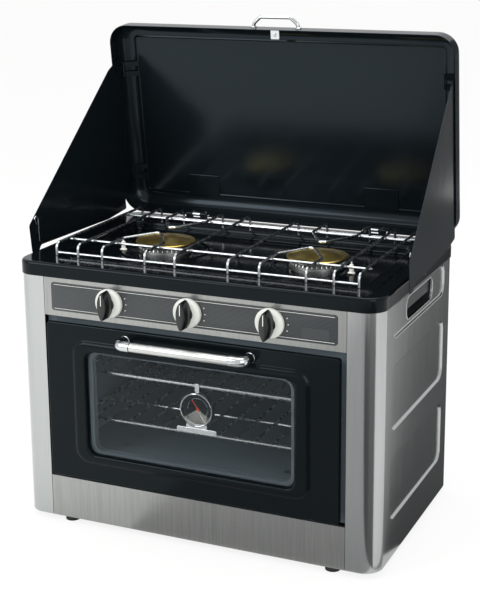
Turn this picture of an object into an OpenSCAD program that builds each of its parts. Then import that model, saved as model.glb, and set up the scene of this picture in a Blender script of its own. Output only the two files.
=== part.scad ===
// Folding camp oven: two hob burners over a gas oven, with a hinged lid and two folding wind shields.
// Millimetres, +Z up, x = 0 in the middle, z = 0 on the surface that the feet stand on.

/* [Body] */
// Width over the two side panels
body_w = 515; // [480:1:560]
// Depth from the front panels to the rear panel
body_d = 325; // [310:1:360]
// Height of the side panels below the hob tray
body_h = 343; // [335:1:370]
// Outer radius of the four upright corners
corner_r = 25; // [18:1:32]
// Thickness of the steel sheet
sheet = 0.8; // [0.6:0.1:1]
// Width of the front between the two seams
front_w = 430; // [424:1:440]
// Gap at a seam between two sheets
seam = 0.6; // [0.4:0.1:1]
// Height of the lower front panel
lower_h = 59; // [50:1:60]
// Height of the control panel
control_h = 53; // [50:1:56]
// Height of the feet
foot_h = 9; // [6:1:14]
// Radius of the feet
foot_r = 10; // [8:1:12]

/* [Side embossing] */
// Length of an embossed field from front to back
emboss_w = 230; // [210:1:240]
// Height of the two lower fields
emboss_h = 87; // [80:1:92]
// Step from one field to the next one up
emboss_pitch = 122; // [118:1:124]
// Height of the lowest field above the panel's bottom edge
emboss_low = 52; // [45:1:56]
// Depth of the embossing
emboss_depth = 2.5; // [1.5:0.1:3]
// Corner radius of a field
emboss_r = 16; // [10:1:20]

/* [Carry handles] */
// Length of the finger slot
slot_w = 116; // [100:1:125]
// Height of the finger slot
slot_h = 31; // [29:1:33]
// Depth of the cup behind the slot
cup_depth = 24; // [18:1:30]
// Height of the finger gap below the inner plate
finger_gap = 11; // [9:1:14]
// Distance of the slot's middle from the front
slot_y = 170; // [160:1:175]

/* [Hob tray] */
// Height of the tray's rim
rim_h = 19; // [16:1:24]
// How far the rim stands out past the panels
rim_over = 1.5; // [1.2:0.1:2]
// Radius along the rim's top edge
rim_edge_r = 4; // [2:0.5:6]
// Width of the sunken part of the tray
well_w = 440; // [436:1:446]
// Length of the sunken part of the tray
well_l = 218; // [200:1:222]
// Depth of the sunken part
well_depth = 12; // [10:1:13]
// Corner radius of the sunken part
well_r = 30; // [20:1:40]

/* [Burners] */
// Distance of each burner from the middle
burner_x = 114; // [110:1:120]
// Distance of the burners from the front
burner_y = 162; // [158:1:166]
// Radius of the brass cap
cap_r = 42; // [38:1:44]
// Height of the cap's dome
cap_dome = 5; // [3:1:7]
// Inner radius of a mixing tube
venturi_r = 6.5; // [5:0.5:8]

/* [Pan support] */
// Radius of the chromed wire
wire_r = 1.9; // [1.5:0.1:2.2]
// Height of the wires' centres above the tray
support_h = 17.5; // [16:0.5:18]
// Distance from the front to the front legs
support_y = 39; // [38:1:44]
// Depth from the front legs to the rear legs
support_l = 246; // [236:1:250]
// Distances of the straight cross wires from the middle
straight_x = [38, 183, 216];
// Distances of the two bent wires of each burner from its centre
bent_dx = 32; // [28:1:36]
// How far the support lifts off
support_lift = 0.1; // [0.05:0.01:0.2]

/* [Lid] */
// Length of the lid from its hinge side to its free side
lid_l = 289; // [280:1:292]
// Depth of the lid
lid_depth = 37.5; // [36:0.5:42]
// Outer width of the lid
lid_w = 524.7; // [490:0.1:572]
// Corner radius of the lid
lid_corner_r = 28; // [24:1:34]
// Radius between the lid's walls and its panel
lid_edge_r = 20; // [16:1:20]
// Forward lean of the open lid
lid_lean = 7.2; // [0:0.1:10]
// Distance from the front to the lid's hinge line
hinge_y = 320; // [318:1:321]
// Height of the hinge line above the tray
hinge_rise = 5; // [5:0.1:6]
// Radius of a hinge knuckle
knuckle_r = 3; // [2.6:0.1:3.2]
// Radius of a hinge pin
hinge_pin_r = 1.5; // [1.2:0.1:1.8]
// Distance of each lid hinge from the middle
hinge_x = 141.5; // [130:0.5:150]

/* [Wind shields] */
// Length of a shield from its pin to its front edge
shield_l = 274.5; // [262:0.5:277]
// Height of a shield along its pin
shield_h = 236; // [215:1:240]
// Outward angle of an open shield
shield_flare = 3; // [0:0.1:3.2]
// Gap between the open shields and the rim of the tray
shield_gap = 0.5; // [0.4:0.1:0.8]
// Room under a shield where it swings over the pan support
shield_lift = 1.4; // [1:0.1:3]
// Distance of the pins of the shields' hinges from the lid's rim, right and left
shield_pin_u = [22, 25];
// Heights of the two hinges of a shield along its pin
shield_hinge_v = [52, 214];
// Radius of a shield hinge's pin
shield_pin_r = 1.2; // [1:0.1:1.4]

/* [Door] */
// Width of the oven door
door_w = 418; // [412:1:419]
// Height of the oven door
door_h = 219; // [214:1:220]
// Depth of the door's outer sheet
door_t = 6.5; // [6:0.1:7]
// Width and height of the window
glass_w = 297; // [280:1:300]
// Height of the window
glass_h = 145; // [130:1:146]
// Height of the window's middle above the door's bottom edge
glass_z = 111.5; // [110:0.5:114]
// Width of the raised frame round the window
ridge_w = 21; // [15:1:22]
// Height of the raised frame
ridge_h = 4; // [2:0.5:5]
// Thickness of the glass
glass_t = 4; // [3:0.5:4]
// Radius of the handle's bar
bar_r = 6.2; // [5:0.1:7]
// Length of the bar between its brackets
bar_l = 140; // [120:1:180]
// Distance of the bar from the door's face
bar_reach = 22; // [20:1:30]
// Height of the bar above the door's bottom edge
bar_z = 206; // [200:1:209]
// Opening angle of the door
door_open = 90; // [80:1:90]

/* [Oven] */
// Inner width of the oven
oven_w = 376; // [370:1:380]
// Inner height of the oven
oven_h = 196; // [190:1:198]
// Depth of the oven
oven_d = 278; // [250:1:282]
// Height of the upper rack above the oven's bottom
rack_high = 134; // [125:1:140]
// Height of the lower rack above the oven's bottom
rack_low = 67; // [60:1:70]
// Radius of a rack's frame wire
rack_r = 2.5; // [2:0.1:3]
// Radius of the thermometer
gauge_r = 24; // [20:1:26]

/* [Knobs] */
// Distance between neighbouring knobs
knob_pitch = 114; // [100:1:120]
// Height of the knobs above the control panel's bottom edge
knob_z = 27; // [25:1:28]
// Radius of a knob's skirt
knob_r = 19.5; // [17:0.5:20]
// Thickness of the skirt
skirt_t = 7; // [5:1:9]
// How far the grip stands out past the skirt
grip_h = 17; // [14:1:20]
// Radius of a valve's stem
stem_r = 4; // [3:0.1:4.5]

/* [Hidden] */
$fn = 48;
fit = 0.05;
rest_gap = 0.3;
tuck = 8;
steel = [0.70, 0.71, 0.70];
black = [0.08, 0.08, 0.09];
enamel = [0.12, 0.13, 0.14];
chrome = [0.80, 0.81, 0.82];
brass = [0.70, 0.58, 0.28];

// Heights from the floor
panel_z = foot_h;
rim_z = foot_h + body_h;
top_z = rim_z + rim_h;
well_z = top_z - well_depth;
control_z = rim_z - control_h;
door_z = panel_z + lower_h + 5;
door_pivot_z = door_z + 6;
door_pivot_y = 1;
flange_y = 8;
oven_z = door_z + 12;
upper_z = oven_z + rack_high;
lower_z = oven_z + rack_low;
wire_z = top_z + support_h;
bar_axis_z = door_z + bar_z;

// Fore and aft places
tray_w = body_w + 2*rim_over;
tray_d = body_d + 2*rim_over;
mid_y = body_d/2;
bar_y = -door_t - seam - bar_reach;
inlet_len = 16;
nut_len = 8;
inlet_end_y = body_d + nut_len + inlet_len;
front_y = (bar_r - bar_y - inlet_end_y)/2;
hinge_z = top_z + hinge_rise;
hinge_u = hinge_rise - 0.8;
lid_low_v = -2;
lid_wall_x = lid_w/2 - sheet;
field_x = lid_w/2 - lid_edge_r - 3;
support_back = support_y + support_l;

// Wind shield places in the lid's own directions: u into its depth, v up along it
shield_x = tray_w/2 + shield_gap + sheet/2;
pin_r_out = shield_pin_r + 1.2;
// the pins stand inside the lid's rounded edge, and the open sheets pass it at shield_x
plate_out = 1.6;
pin_x = shield_x - plate_out - shield_pin_u[1]*sin(shield_flare);
shield_low_z = wire_z + wire_r + shield_lift;
front_edge_h = 10;
shoulder_s = 39.5;
shoulder_drop = 14;

module at_front() translate([0, front_y, 0]) children();
module side(s) mirror([s < 0 ? 1 : 0, 0, 0]) children();

// Flat outline with round corners
module rr(w, h, r) {
    square([w, h - 2*r], center = true);
    square([w - 2*r, h], center = true);
    for (sx = [-1, 1], sy = [-1, 1]) translate([sx*(w/2 - r), sy*(h/2 - r)]) circle(r);
}
module frame(w, h, r, t) difference() {
    rr(w, h, r);
    rr(w - 2*t, h - 2*t, r - t);
}
// A plate that faces the front: its outline is drawn in x and z, its front face is at y
module facing(y, t) translate([0, y + t, 0]) rotate([90, 0, 0]) linear_extrude(t) children();
// A plate that faces the right: its outline is drawn in y and z, its inner face is at x
module sideways(x, t) translate([x, 0, 0]) rotate([90, 0, 90]) linear_extrude(t) children();
// A plate drawn in x and y
module flat_at(z, t) translate([0, 0, z]) linear_extrude(t) children();
module along_y(x, y, z, l, r) translate([x, y, z]) rotate([-90, 0, 0]) cylinder(h = l, r = r);
module along_x(x, y, z, l, r) translate([x, y, z]) rotate([0, 90, 0]) cylinder(h = l, r = r);
// A straight round rod between two points
module rod(a, b, r) {
    d = b - a;
    translate(a) rotate([0, acos(d.z/norm(d)), atan2(d.y, d.x)]) cylinder(h = norm(d), r = r);
}
// A bent wire through a list of points, with ball corners
module wire(points, r) {
    for (i = [0:len(points) - 2]) rod(points[i], points[i + 1], r);
    for (i = [1:len(points) - 2]) translate(points[i]) sphere(r);
}
// The section of a pressed pan's wall, from the centre of its corner outwards
module pan_section(h, cr, er, t) {
    translate([cr - t, 0]) square([t, h - er]);
    translate([cr - er, h - er]) intersection() {
        difference() {
            circle(er);
            circle(er - t);
        }
        square(er);
    }
    if (cr > er) translate([0, h - t]) square([cr - er, t]);
}
// A pressed pan, open below, with round corners and a round edge along its closed side
module pan(w, l, h, cr, er, t) {
    for (sx = [0, 1], sy = [0, 1]) mirror([sx, 0, 0]) mirror([0, sy, 0])
        translate([w/2 - cr, l/2 - cr, 0]) rotate_extrude(angle = 90) pan_section(h, cr, er, t);
    for (sx = [0, 1]) mirror([sx, 0, 0]) translate([w/2 - cr, l/2 - cr, 0]) rotate([90, 0, 0])
        linear_extrude(l - 2*cr) pan_section(h, cr, er, t);
    for (sy = [0, 1]) mirror([0, sy, 0]) translate([-w/2 + cr, l/2 - cr, 0]) rotate([90, 0, 90])
        linear_extrude(w - 2*cr) pan_section(h, cr, er, t);
    translate([-w/2 + cr, -l/2 + cr, h - t]) cube([w - 2*cr, l - 2*cr, t]);
}

// Body

function row_z(i) = panel_z + emboss_low + i*emboss_pitch;
top_row_h = rim_z - 2 - row_z(2);
slot_z = row_z(2) + top_row_h/2;
function row_h(i) = i < 2 ? emboss_h : top_row_h;

module in_row(i) translate([mid_y, row_z(i) + row_h(i)/2]) children();
module slot_outline(grow) translate([slot_y, slot_z]) rr(slot_w + 2*grow, slot_h + 2*grow, slot_h/2 - 3 + grow);

module side_panel(s) color(steel) at_front() side(s) {
    floor_x = body_w/2 - emboss_depth - sheet;
    difference() {
        flat_at(panel_z, body_h + tuck) intersection() {
            translate([0, mid_y]) frame(body_w, body_d, corner_r, sheet);
            translate([front_w/2, 0]) square([body_w, body_d]);
        }
        for (i = [0:2]) sideways(body_w/2 - 2*sheet, 3*sheet) in_row(i)
            rr(emboss_w - 2*sheet, row_h(i) - 2*sheet, emboss_r - sheet);
    }
    // the folded edges behind the front seam
    translate([front_w/2, sheet/2, panel_z + sheet + rest_gap])
        cube([sheet, flange_y - sheet/2 - rest_gap, body_h - 4]);
    for (i = [0:2]) {
        sideways(floor_x, emboss_depth + sheet) in_row(i) frame(emboss_w, row_h(i), emboss_r, sheet);
        difference() {
            sideways(floor_x, sheet) in_row(i) rr(emboss_w, row_h(i), emboss_r);
            if (i == 2) sideways(floor_x - sheet, 3*sheet) slot_outline(0);
        }
    }
}

module handle_cups() color(steel) at_front() for (s = [-1, 1]) side(s) {
    lip_x = body_w/2 - emboss_depth - 2*sheet;
    sideways(lip_x - cup_depth, sheet) slot_outline(sheet);
    sideways(lip_x - cup_depth, cup_depth) difference() {
        slot_outline(sheet);
        slot_outline(0);
    }
    sideways(lip_x, sheet) difference() {
        slot_outline(5);
        slot_outline(0);
    }
    sideways(lip_x - 4, sheet) intersection() {
        slot_outline(sheet/2);
        translate([slot_y - slot_w, slot_z - slot_h/2 + finger_gap]) square([2*slot_w - 22, slot_h]);
    }
}

module rear_panel() color(steel) at_front() difference() {
    facing(body_d - sheet, sheet) translate([-front_w/2 + seam, panel_z])
        square([front_w - 2*seam, body_h - 1]);
    for (row = [0, 1], i = [-5:5]) facing(body_d - 2*sheet, 3*sheet)
        translate([i*30, rim_z - 40 - row*26]) rr(20, 5, 2.4);
    along_y(inlet_x, body_d - 5, manifold_z, 10, manifold_r + 0.4);
}

module base_panel() color(steel) at_front() difference() {
    flat_at(panel_z, sheet) translate([0, mid_y])
        rr(body_w - 2*sheet - 2*rest_gap, body_d - 2*sheet - 2*rest_gap, corner_r - sheet - rest_gap);
    for (i = [-3:3]) translate([i*40, mid_y, panel_z - 1]) cylinder(h = 3, r = 7);
    for (x = [-1, 1], y = [foot_y, body_d - foot_y]) translate([x*foot_x, y, panel_z - 1])
        cylinder(h = 3, r = foot_screw_r + rest_gap);
}

foot_x = 193;
foot_y = 16;
foot_screw_r = 3;
module feet() color(black) at_front() for (x = [-1, 1], y = [foot_y, body_d - foot_y])
    translate([x*foot_x, y, 0]) {
        cylinder(h = foot_h, r = foot_r);
        translate([0, 0, foot_h + sheet]) cylinder(h = 3, r = 6);
        cylinder(h = foot_h + sheet + 1, r = foot_screw_r);
    }

module lower_front_panel() color(steel) at_front() {
    facing(0, sheet) translate([-front_w/2 + seam, panel_z]) square([front_w - 2*seam, lower_h]);
    translate([-front_w/2 + seam, 0, panel_z + lower_h - sheet]) cube([front_w - 2*seam, flange_y - 1, sheet]);
    translate([-front_w/2 + 4, 0, panel_z + sheet + rest_gap]) cube([front_w - 8, flange_y, sheet]);
}

knob_place_z = control_z + knob_z;
knob_x = [-knob_pitch, 0, knob_pitch];
boss_r = 7;
module stem_holes(r) for (x = knob_x) translate([x, knob_place_z]) circle(r);

module control_panel() color(steel) at_front() {
    facing(0, sheet) difference() {
        translate([-front_w/2 + seam, control_z]) square([front_w - 2*seam, control_h - seam]);
        stem_holes(boss_r + 0.5);
    }
    translate([-front_w/2 + seam, 0, control_z]) cube([front_w - 2*seam, flange_y - 1, sheet]);
}

label_w = 406;
label_h = 39;
label_t = 0.7;
module control_label() color(black) at_front() facing(-label_t, label_t) difference() {
    translate([0, knob_place_z]) rr(label_w, label_h, 4);
    stem_holes(stem_r + 2);
}

module screw(r, h) {
    cylinder(h = h, r = r);
    translate([0, 0, -6]) cylinder(h = 6, r = r/2);
}
body_screw_spots = [for (x = [-1, 1], y = [14, body_d - 14]) [x*88, y]];
module body_screws() color(chrome) at_front() {
    // heads under the base panel
    for (p = body_screw_spots) translate([p.x, p.y, panel_z - 2.6]) cylinder(h = 2.6, r = 4.5);
    // one on each side of the tray's rim, above the carry handle
    for (s = [-1, 1]) side(s) along_x(tray_w/2, slot_y + 8, top_z - rim_h/2, shield_gap - 0.2, 4);
    // two rows of small heads down the rear panel's edges
    for (x = [-1, 1], z = [40, 180, 320]) along_y(x*(front_w/2 - 8), body_d, panel_z + z, 1.6, 3);
}

// Oven

rail_r = 2;
liner_w = oven_w + 2*sheet;
oven_back = flange_y + oven_d;
feed_z = oven_z + 12;
module liner_place() translate([0, oven_z + oven_h/2]) children();
module oven_liner() color(enamel) at_front() difference() {
    union() {
        facing(flange_y, sheet) difference() {
            translate([-front_w/2 + seam, door_z - 3])
                square([front_w - 2*seam, control_z - door_z + 1]);
            liner_place() rr(oven_w, oven_h, 8);
        }
        facing(flange_y, oven_d) liner_place() difference() {
            rr(liner_w, oven_h + 2*sheet, 8 + sheet);
            rr(oven_w, oven_h, 8);
        }
        facing(oven_back - sheet, sheet) liner_place() rr(liner_w, oven_h + 2*sheet, 8 + sheet);
    }
    along_y(0, oven_back - 4, feed_z, 8, feed_r + 0.3);
}

floor_z = oven_z + 24;
module oven_floor() color(enamel) at_front() difference() {
    union() {
        flat_at(floor_z, sheet) translate([-oven_w/2 + 2, flange_y + 6]) square([oven_w - 4, oven_d - 12]);
        for (s = [-1, 1]) side(s) translate([oven_w/2 - 3, flange_y + 6, oven_z + 3])
            cube([sheet, oven_d - 12, floor_z - oven_z - 3 + sheet/2]);
    }
    for (x = [-1, 1], i = [0:5]) translate([x*120, flange_y + 36 + i*40, floor_z - 1]) cylinder(h = 4, r = 6);
}

feed_r = 3;
oven_tube_r = 7;
module oven_burner() color(steel) at_front() {
    start_y = flange_y + 30;
    end_y = oven_back - 26;
    difference() {
        union() {
            along_y(0, start_y, feed_z, end_y - start_y, oven_tube_r);
            for (y = [start_y + 20, end_y - 30]) translate([-12, y, oven_z]) cube([24, 3, feed_z - oven_z]);
        }
        along_y(0, start_y + 2, feed_z, end_y - start_y - 4, oven_tube_r - 1);
        for (i = [0:9]) along_x(-12, start_y + 18 + i*20, feed_z + 1, 24, 1.2);
    }
}
// The pipe from the middle valve, over the oven and down behind it
module oven_feed_pipe() color(steel) at_front() {
    drop_y = oven_back + 12;
    wire([[0, valve_back + 5, knob_place_z], [0, drop_y, knob_place_z], [0, drop_y, feed_z],
        [0, oven_back - 26, feed_z]], feed_r);
}

guide_y = [flange_y + 24, oven_back - 24];
rack_side_x = oven_w/2 - 8;
module rack_guides() color(chrome) at_front() for (s = [-1, 1]) side(s) {
    x = oven_w/2 - rest_gap - rail_r;
    for (y = guide_y) rod([x, y, floor_z + sheet + rest_gap], [x, y, oven_z + oven_h - 12], rail_r);
    for (z = [lower_z, upper_z]) {
        rz = z - rack_r - rail_r - 0.2;
        rod([x, flange_y + 12, rz], [x, oven_back - 8, rz], rail_r);
        rod([x - 3.4, flange_y + 12, rz], [x - 3.4, oven_back - 8, rz], rail_r);
    }
}

rack_front_y = flange_y + 17;
rack_back_y = oven_back - 12;
module oven_rack(z) color(chrome) at_front() {
    rack_l = rack_back_y - rack_front_y;
    inner_r = 1.6;
    for (x = [-rack_side_x, rack_side_x]) along_y(x, rack_front_y - rack_r, z, rack_l + 2*rack_r, rack_r);
    for (y = [rack_front_y, rack_back_y]) along_x(-rack_side_x, y, z, 2*rack_side_x, rack_r - 0.2);
    for (i = [-3:2]) along_y((i + 0.5)*53, rack_front_y, z, rack_l, inner_r);
    for (i = [1:7]) along_x(-rack_side_x, rack_front_y + i*30, z, 2*rack_side_x, inner_r - 0.2);
}

gauge_y = flange_y + 9;
gauge_z = upper_z - 32;
gauge_foot_w = 58;
module gauge_case() color(chrome) at_front() {
    difference() {
        along_y(0, gauge_y, gauge_z, 10, gauge_r);
        along_y(0, gauge_y - 1, gauge_z, 8, gauge_r - 2.2);
    }
    // hook over the upper rack's front wire
    hook_top = upper_z + rack_r + rest_gap;
    translate([-3, gauge_y + 4, gauge_z + gauge_r - 1]) cube([6, 1, hook_top - gauge_z - gauge_r + 2]);
    translate([-3, gauge_y + 4, hook_top]) cube([6, 10, 1]);
    translate([-3, gauge_y + 13, hook_top - 6]) cube([6, 1, 7]);
    // stand plate below
    facing(gauge_y + 1, 1) translate([0, gauge_z]) polygon([[-16, -gauge_r + 3], [16, -gauge_r + 3],
        [gauge_foot_w/2, -gauge_r - 12], [-gauge_foot_w/2, -gauge_r - 12]]);
}
module gauge_dial() color("white") at_front() along_y(0, gauge_y + 6, gauge_z, 1, gauge_r - 2.4);
module gauge_needle() color("red") at_front() {
    along_y(0, gauge_y + 4.6, gauge_z, 1.4, 2);
    translate([0, gauge_y + 5, gauge_z]) rotate([0, -35, 0]) translate([-0.6, 0, -4]) cube([1.2, 0.6, 18]);
}

// Door

knuckle_x = 187;
knuckle_l = 15;
door_pin_r = 3;
door_knuckle_r = 5;
door_face_y = -door_t - seam;
door_skin_y = door_face_y + sheet;
ridge_outer_w = glass_w + 2*ridge_w;
ridge_outer_h = glass_h + 2*ridge_w - 14;

module door_hinge_pins() color(chrome) at_front() for (s = [-1, 1]) side(s) {
    along_x(knuckle_x - 4, door_pivot_y, door_pivot_z, knuckle_l + 5, door_pin_r);
    translate([knuckle_x - 4, door_pivot_y - 4, door_pivot_z - 4])
        cube([3, flange_y - door_pivot_y + 4, 8]);
}

module window_place() translate([0, door_z + glass_z]) children();
module door_panel() color(enamel) at_front() difference() {
    union() {
        facing(door_face_y, sheet) difference() {
            translate([0, door_z + door_h/2]) rr(door_w, door_h, 4);
            window_place() rr(glass_w, glass_h, 14);
        }
        // folded edges at the top and the two sides
        facing(door_face_y, door_t) intersection() {
            translate([0, door_z + door_h/2]) frame(door_w, door_h, 4, sheet);
            translate([-door_w/2, door_z + 8]) square([door_w, door_h]);
        }
        // raised frame round the window
        facing(door_face_y - ridge_h, ridge_h + sheet) window_place() difference() {
            rr(ridge_outer_w, ridge_outer_h, 22);
            rr(glass_w, glass_h, 14);
        }
        for (s = [-1, 1]) side(s) {
            along_x(knuckle_x, door_pivot_y, door_pivot_z, knuckle_l, door_knuckle_r);
            translate([knuckle_x, door_face_y + sheet/2, door_pivot_z - 4])
                cube([knuckle_l, door_pivot_y - door_face_y, 8]);
        }
    }
    for (s = [-1, 1]) side(s)
        along_x(knuckle_x - 1, door_pivot_y, door_pivot_z, knuckle_l + 2, door_pin_r + fit);
    facing(door_face_y - ridge_h + sheet, ridge_h + sheet) window_place() difference() {
        rr(ridge_outer_w - 2*sheet, ridge_outer_h - 2*sheet, 22 - sheet);
        rr(glass_w + 2*sheet, glass_h + 2*sheet, 14 + sheet);
    }
}

pane_y = door_skin_y + 0.2;
module door_glass() color([0.5, 0.6, 0.62, 0.5]) at_front()
    facing(pane_y, glass_t) window_place() rr(glass_w + 8, glass_h + 6, 10);

module door_inner_panel() color(enamel) at_front() {
    plate_y = pane_y + glass_t + 0.2;
    difference() {
        facing(plate_y, sheet) difference() {
            translate([0, door_z + door_h/2 + 6]) rr(door_w - 2*sheet - 1, door_h - 16, 4);
            window_place() rr(glass_w - 12, glass_h - 8, 12);
        }
    }
    // the step that closes the oven's mouth
    facing(plate_y, flange_y - plate_y - rest_gap) liner_place() frame(oven_w - 4, oven_h - 4, 8, 1.2);
    facing(flange_y - rest_gap - 1, 1) difference() {
        liner_place() rr(oven_w - 4, oven_h - 4, 8);
        window_place() rr(glass_w - 12, glass_h - 8, 12);
    }
}

elbow_r = 13;
module door_handle_bar() color([0.75, 0.75, 0.76]) at_front()
    along_x(-bar_l/2, bar_y, bar_axis_z, bar_l, bar_r);

module door_handle_brackets() color(chrome) at_front() for (s = [-1, 1]) side(s) {
    r = bar_r + 0.8;
    along_x(bar_l/2 + rest_gap/2, bar_y, bar_axis_z, 6, r);
    translate([bar_l/2 + 6, bar_y + elbow_r, bar_axis_z]) rotate_extrude(angle = -90)
        translate([elbow_r, 0]) circle(r);
    along_y(bar_l/2 + 6 + elbow_r, bar_y + elbow_r, bar_axis_z, door_face_y - bar_y - elbow_r, r);
    along_y(bar_l/2 + 6 + elbow_r, door_face_y - 3, bar_axis_z, 3, r + 0.6);
}

// Knobs and gas parts

valve_front = 14;
valve_back = 44;
manifold_r = 6;
manifold_y = 30;
manifold_z = knob_place_z - 24;
inlet_x = 200;
knob_face_y = -label_t - 0.6;
stem_front_y = knob_face_y - skirt_t - grip_h + 5;

module knob(x) color(black) at_front() translate([x, 0, knob_place_z]) difference() {
    union() {
        facing(knob_face_y - skirt_t - grip_h, grip_h) intersection() {
            translate([-(knob_r + 1)*1.05 + 8.2, 0]) circle((knob_r + 1)*1.45);
            translate([(knob_r + 1)*1.05 - 8.2, 0]) circle((knob_r + 1)*1.45);
        }
        along_y(0, knob_face_y - skirt_t - 0.5, 0, skirt_t - 0.5, 9.8);
    }
    along_y(0, stem_front_y - 0.5, 0, 60, stem_r + fit);
}
module knob_skirt(x) color([0.80, 0.81, 0.78]) at_front() translate([x, 0, knob_place_z]) difference() {
    along_y(0, knob_face_y - skirt_t, 0, skirt_t, knob_r);
    along_y(0, knob_face_y - skirt_t - 1, 0, skirt_t + 2, 10);
}
module valve_stem(x) color(brass) at_front()
    along_y(x, stem_front_y, knob_place_z, valve_front + 9.5 - stem_front_y, stem_r);

module gas_valves() color(brass) at_front() for (x = knob_x) difference() {
    union() {
        translate([x - 11, valve_front, knob_place_z - 12]) cube([22, valve_back - valve_front, 24]);
        along_y(x, sheet, knob_place_z, valve_front - sheet, boss_r);
        along_y(x, valve_back, knob_place_z, 5, 4);
    }
    along_y(x, -1, knob_place_z, valve_front + 11, stem_r + fit);
}

module gas_manifold() color(steel) at_front() {
    wire([[-knob_pitch - 14, manifold_y, manifold_z], [inlet_x, manifold_y, manifold_z],
        [inlet_x, body_d, manifold_z]], manifold_r);
    for (x = knob_x) translate([x, manifold_y, manifold_z])
        cylinder(h = knob_place_z - 12 - manifold_z, r = 5.5);
}

inlet_r = 6.6;
module gas_inlet() color(brass) at_front() translate([inlet_x, body_d, manifold_z]) {
    rotate([-90, 0, 0]) cylinder(h = nut_len, r = 11, $fn = 6);
    along_y(0, nut_len, 0, inlet_len, inlet_r);
}

module burner_bases() color([0.6, 0.6, 0.6]) at_front() for (s = [-1, 1]) translate([s*burner_x, burner_y, 0]) {
    tube_z = knob_place_z;
    mouth_y = valve_back + 8 - burner_y;
    difference() {
        union() {
            translate([0, 0, well_z]) cylinder(h = 2, r = 38);
            translate([0, 0, well_z]) cylinder(h = well_depth - 3, r = 33);
            translate([0, 0, tube_z - 10]) cylinder(h = well_z - tube_z + 11, r = 12);
            along_y(0, mouth_y, tube_z, -mouth_y, venturi_r + 2);
            along_y(0, mouth_y, tube_z, 12, venturi_r + 5);
        }
        translate([0, 0, well_z + 3]) cylinder(h = well_depth, r = 30);
        translate([0, 0, tube_z - 8]) cylinder(h = well_z - tube_z + 20, r = 10);
        along_y(0, mouth_y - 1, tube_z, 1 - mouth_y, venturi_r);
        for (a = [0:20:340]) rotate(a) translate([24, 0, well_z + well_depth - 5.5]) rotate([0, 90, 0])
            cylinder(h = 12, r = 1.2);
    }
}

ring_z = top_z - 1.5;
module burner_rings() color(chrome) at_front() for (s = [-1, 1])
    translate([s*burner_x, burner_y, well_z + well_depth - 3]) difference() {
        cylinder(h = 3.5, r = cap_r - 4);
        translate([0, 0, -1]) cylinder(h = 6, r = 27);
    }

dome_r = (cap_r*cap_r + cap_dome*cap_dome)/(2*cap_dome);
module burner_caps() color(brass) at_front() for (s = [-1, 1])
    translate([s*burner_x, burner_y, top_z + 0.5]) rotate_extrude() {
        square([cap_r, 2]);
        translate([0, 2]) intersection() {
            translate([0, cap_dome - dome_r]) circle(dome_r, $fn = 180);
            square([cap_r, cap_dome]);
        }
        translate([22, -4]) square([4, 4.5]);
    }

module igniters() color("white") at_front() for (s = [-1, 1])
    translate([s*(burner_x + 56), burner_y - 21, well_z]) {
        cylinder(h = 13, r = 3);
        cylinder(h = 17, r = 1);
        cylinder(h = 2, r = 5);
    }

module hob_tray() color(black) at_front() difference() {
    union() {
        difference() {
            translate([0, mid_y, rim_z]) pan(tray_w, tray_d, rim_h, corner_r + rim_over, rim_edge_r, sheet);
            flat_at(top_z - 3, 6) well_outline(-sheet);
        }
        flat_at(well_z - sheet, well_depth + sheet) difference() {
            well_outline(0);
            well_outline(-sheet);
        }
        flat_at(well_z - sheet, sheet) well_outline(0);
    }
    for (s = [-1, 1]) translate([s*burner_x, burner_y, well_z - 5]) cylinder(h = 10, r = 14);
}
module well_outline(grow) translate([0, mid_y]) rr(well_w + 2*grow, well_l + 2*grow, well_r + grow);

support_base_z = top_z + rest_gap;
support_low_r = wire_r - 0.3;
tip_half = 3;
module support_leg(x, y) translate([x, y, support_base_z]) cylinder(h = support_h, r = support_low_r);
module pan_support() color(chrome) at_front() {
    end_x = straight_x[2];
    for (s = [-1, 1], x = straight_x) {
        along_y(s*x, support_y - wire_r, wire_z, support_l + 2*wire_r, wire_r);
        for (y = [support_y, support_back]) support_leg(s*x, y);
    }
    for (y = [support_y, support_back]) along_x(-end_x, y, support_base_z + 4, 2*end_x, support_low_r - 0.2);
    for (y = [support_y + 41, support_back - 44])
        along_x(-end_x, y, wire_z - wire_r - support_low_r + 0.6, 2*end_x, support_low_r);
}
// The wires that bend in over each burner, welded to the cross rods
module pan_support_bends() color(chrome) at_front() for (s = [-1, 1], d = [-bent_dx, bent_dx]) {
    x = s*burner_x + d;
    front_bend = support_y + 57;
    rear_bend = support_back - 57;
    front_tip = [s*burner_x, burner_y - 20, wire_z];
    rear_tip = [s*burner_x, burner_y + 16, wire_z];
    for (y = [support_y, support_back]) support_leg(x, y);
    along_y(x, support_y - wire_r, wire_z, front_bend - support_y + wire_r, wire_r);
    along_y(x, rear_bend, wire_z, support_back - rear_bend + wire_r, wire_r);
    for (y = [front_bend, rear_bend]) translate([x, y, wire_z]) sphere(wire_r + 0.4);
    slant_r = wire_r - 0.2;
    tip_dx = sign(d)*tip_half;
    rod([x, front_bend, wire_z], front_tip + [tip_dx, 0, 0], slant_r);
    rod([x, rear_bend, wire_z], rear_tip + [tip_dx, 0, 0], slant_r);
    for (p = [front_tip, rear_tip]) along_x(p.x - tip_half - 1, p.y, p.z, 2*tip_half + 2, wire_r + 0.2);
}

// Lid

module in_lid() at_front() translate([0, hinge_y, hinge_z]) rotate([lid_lean, 0, 0])
    translate([0, -hinge_u, 0]) children();
lid_mid_v = lid_low_v + lid_l/2;
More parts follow.
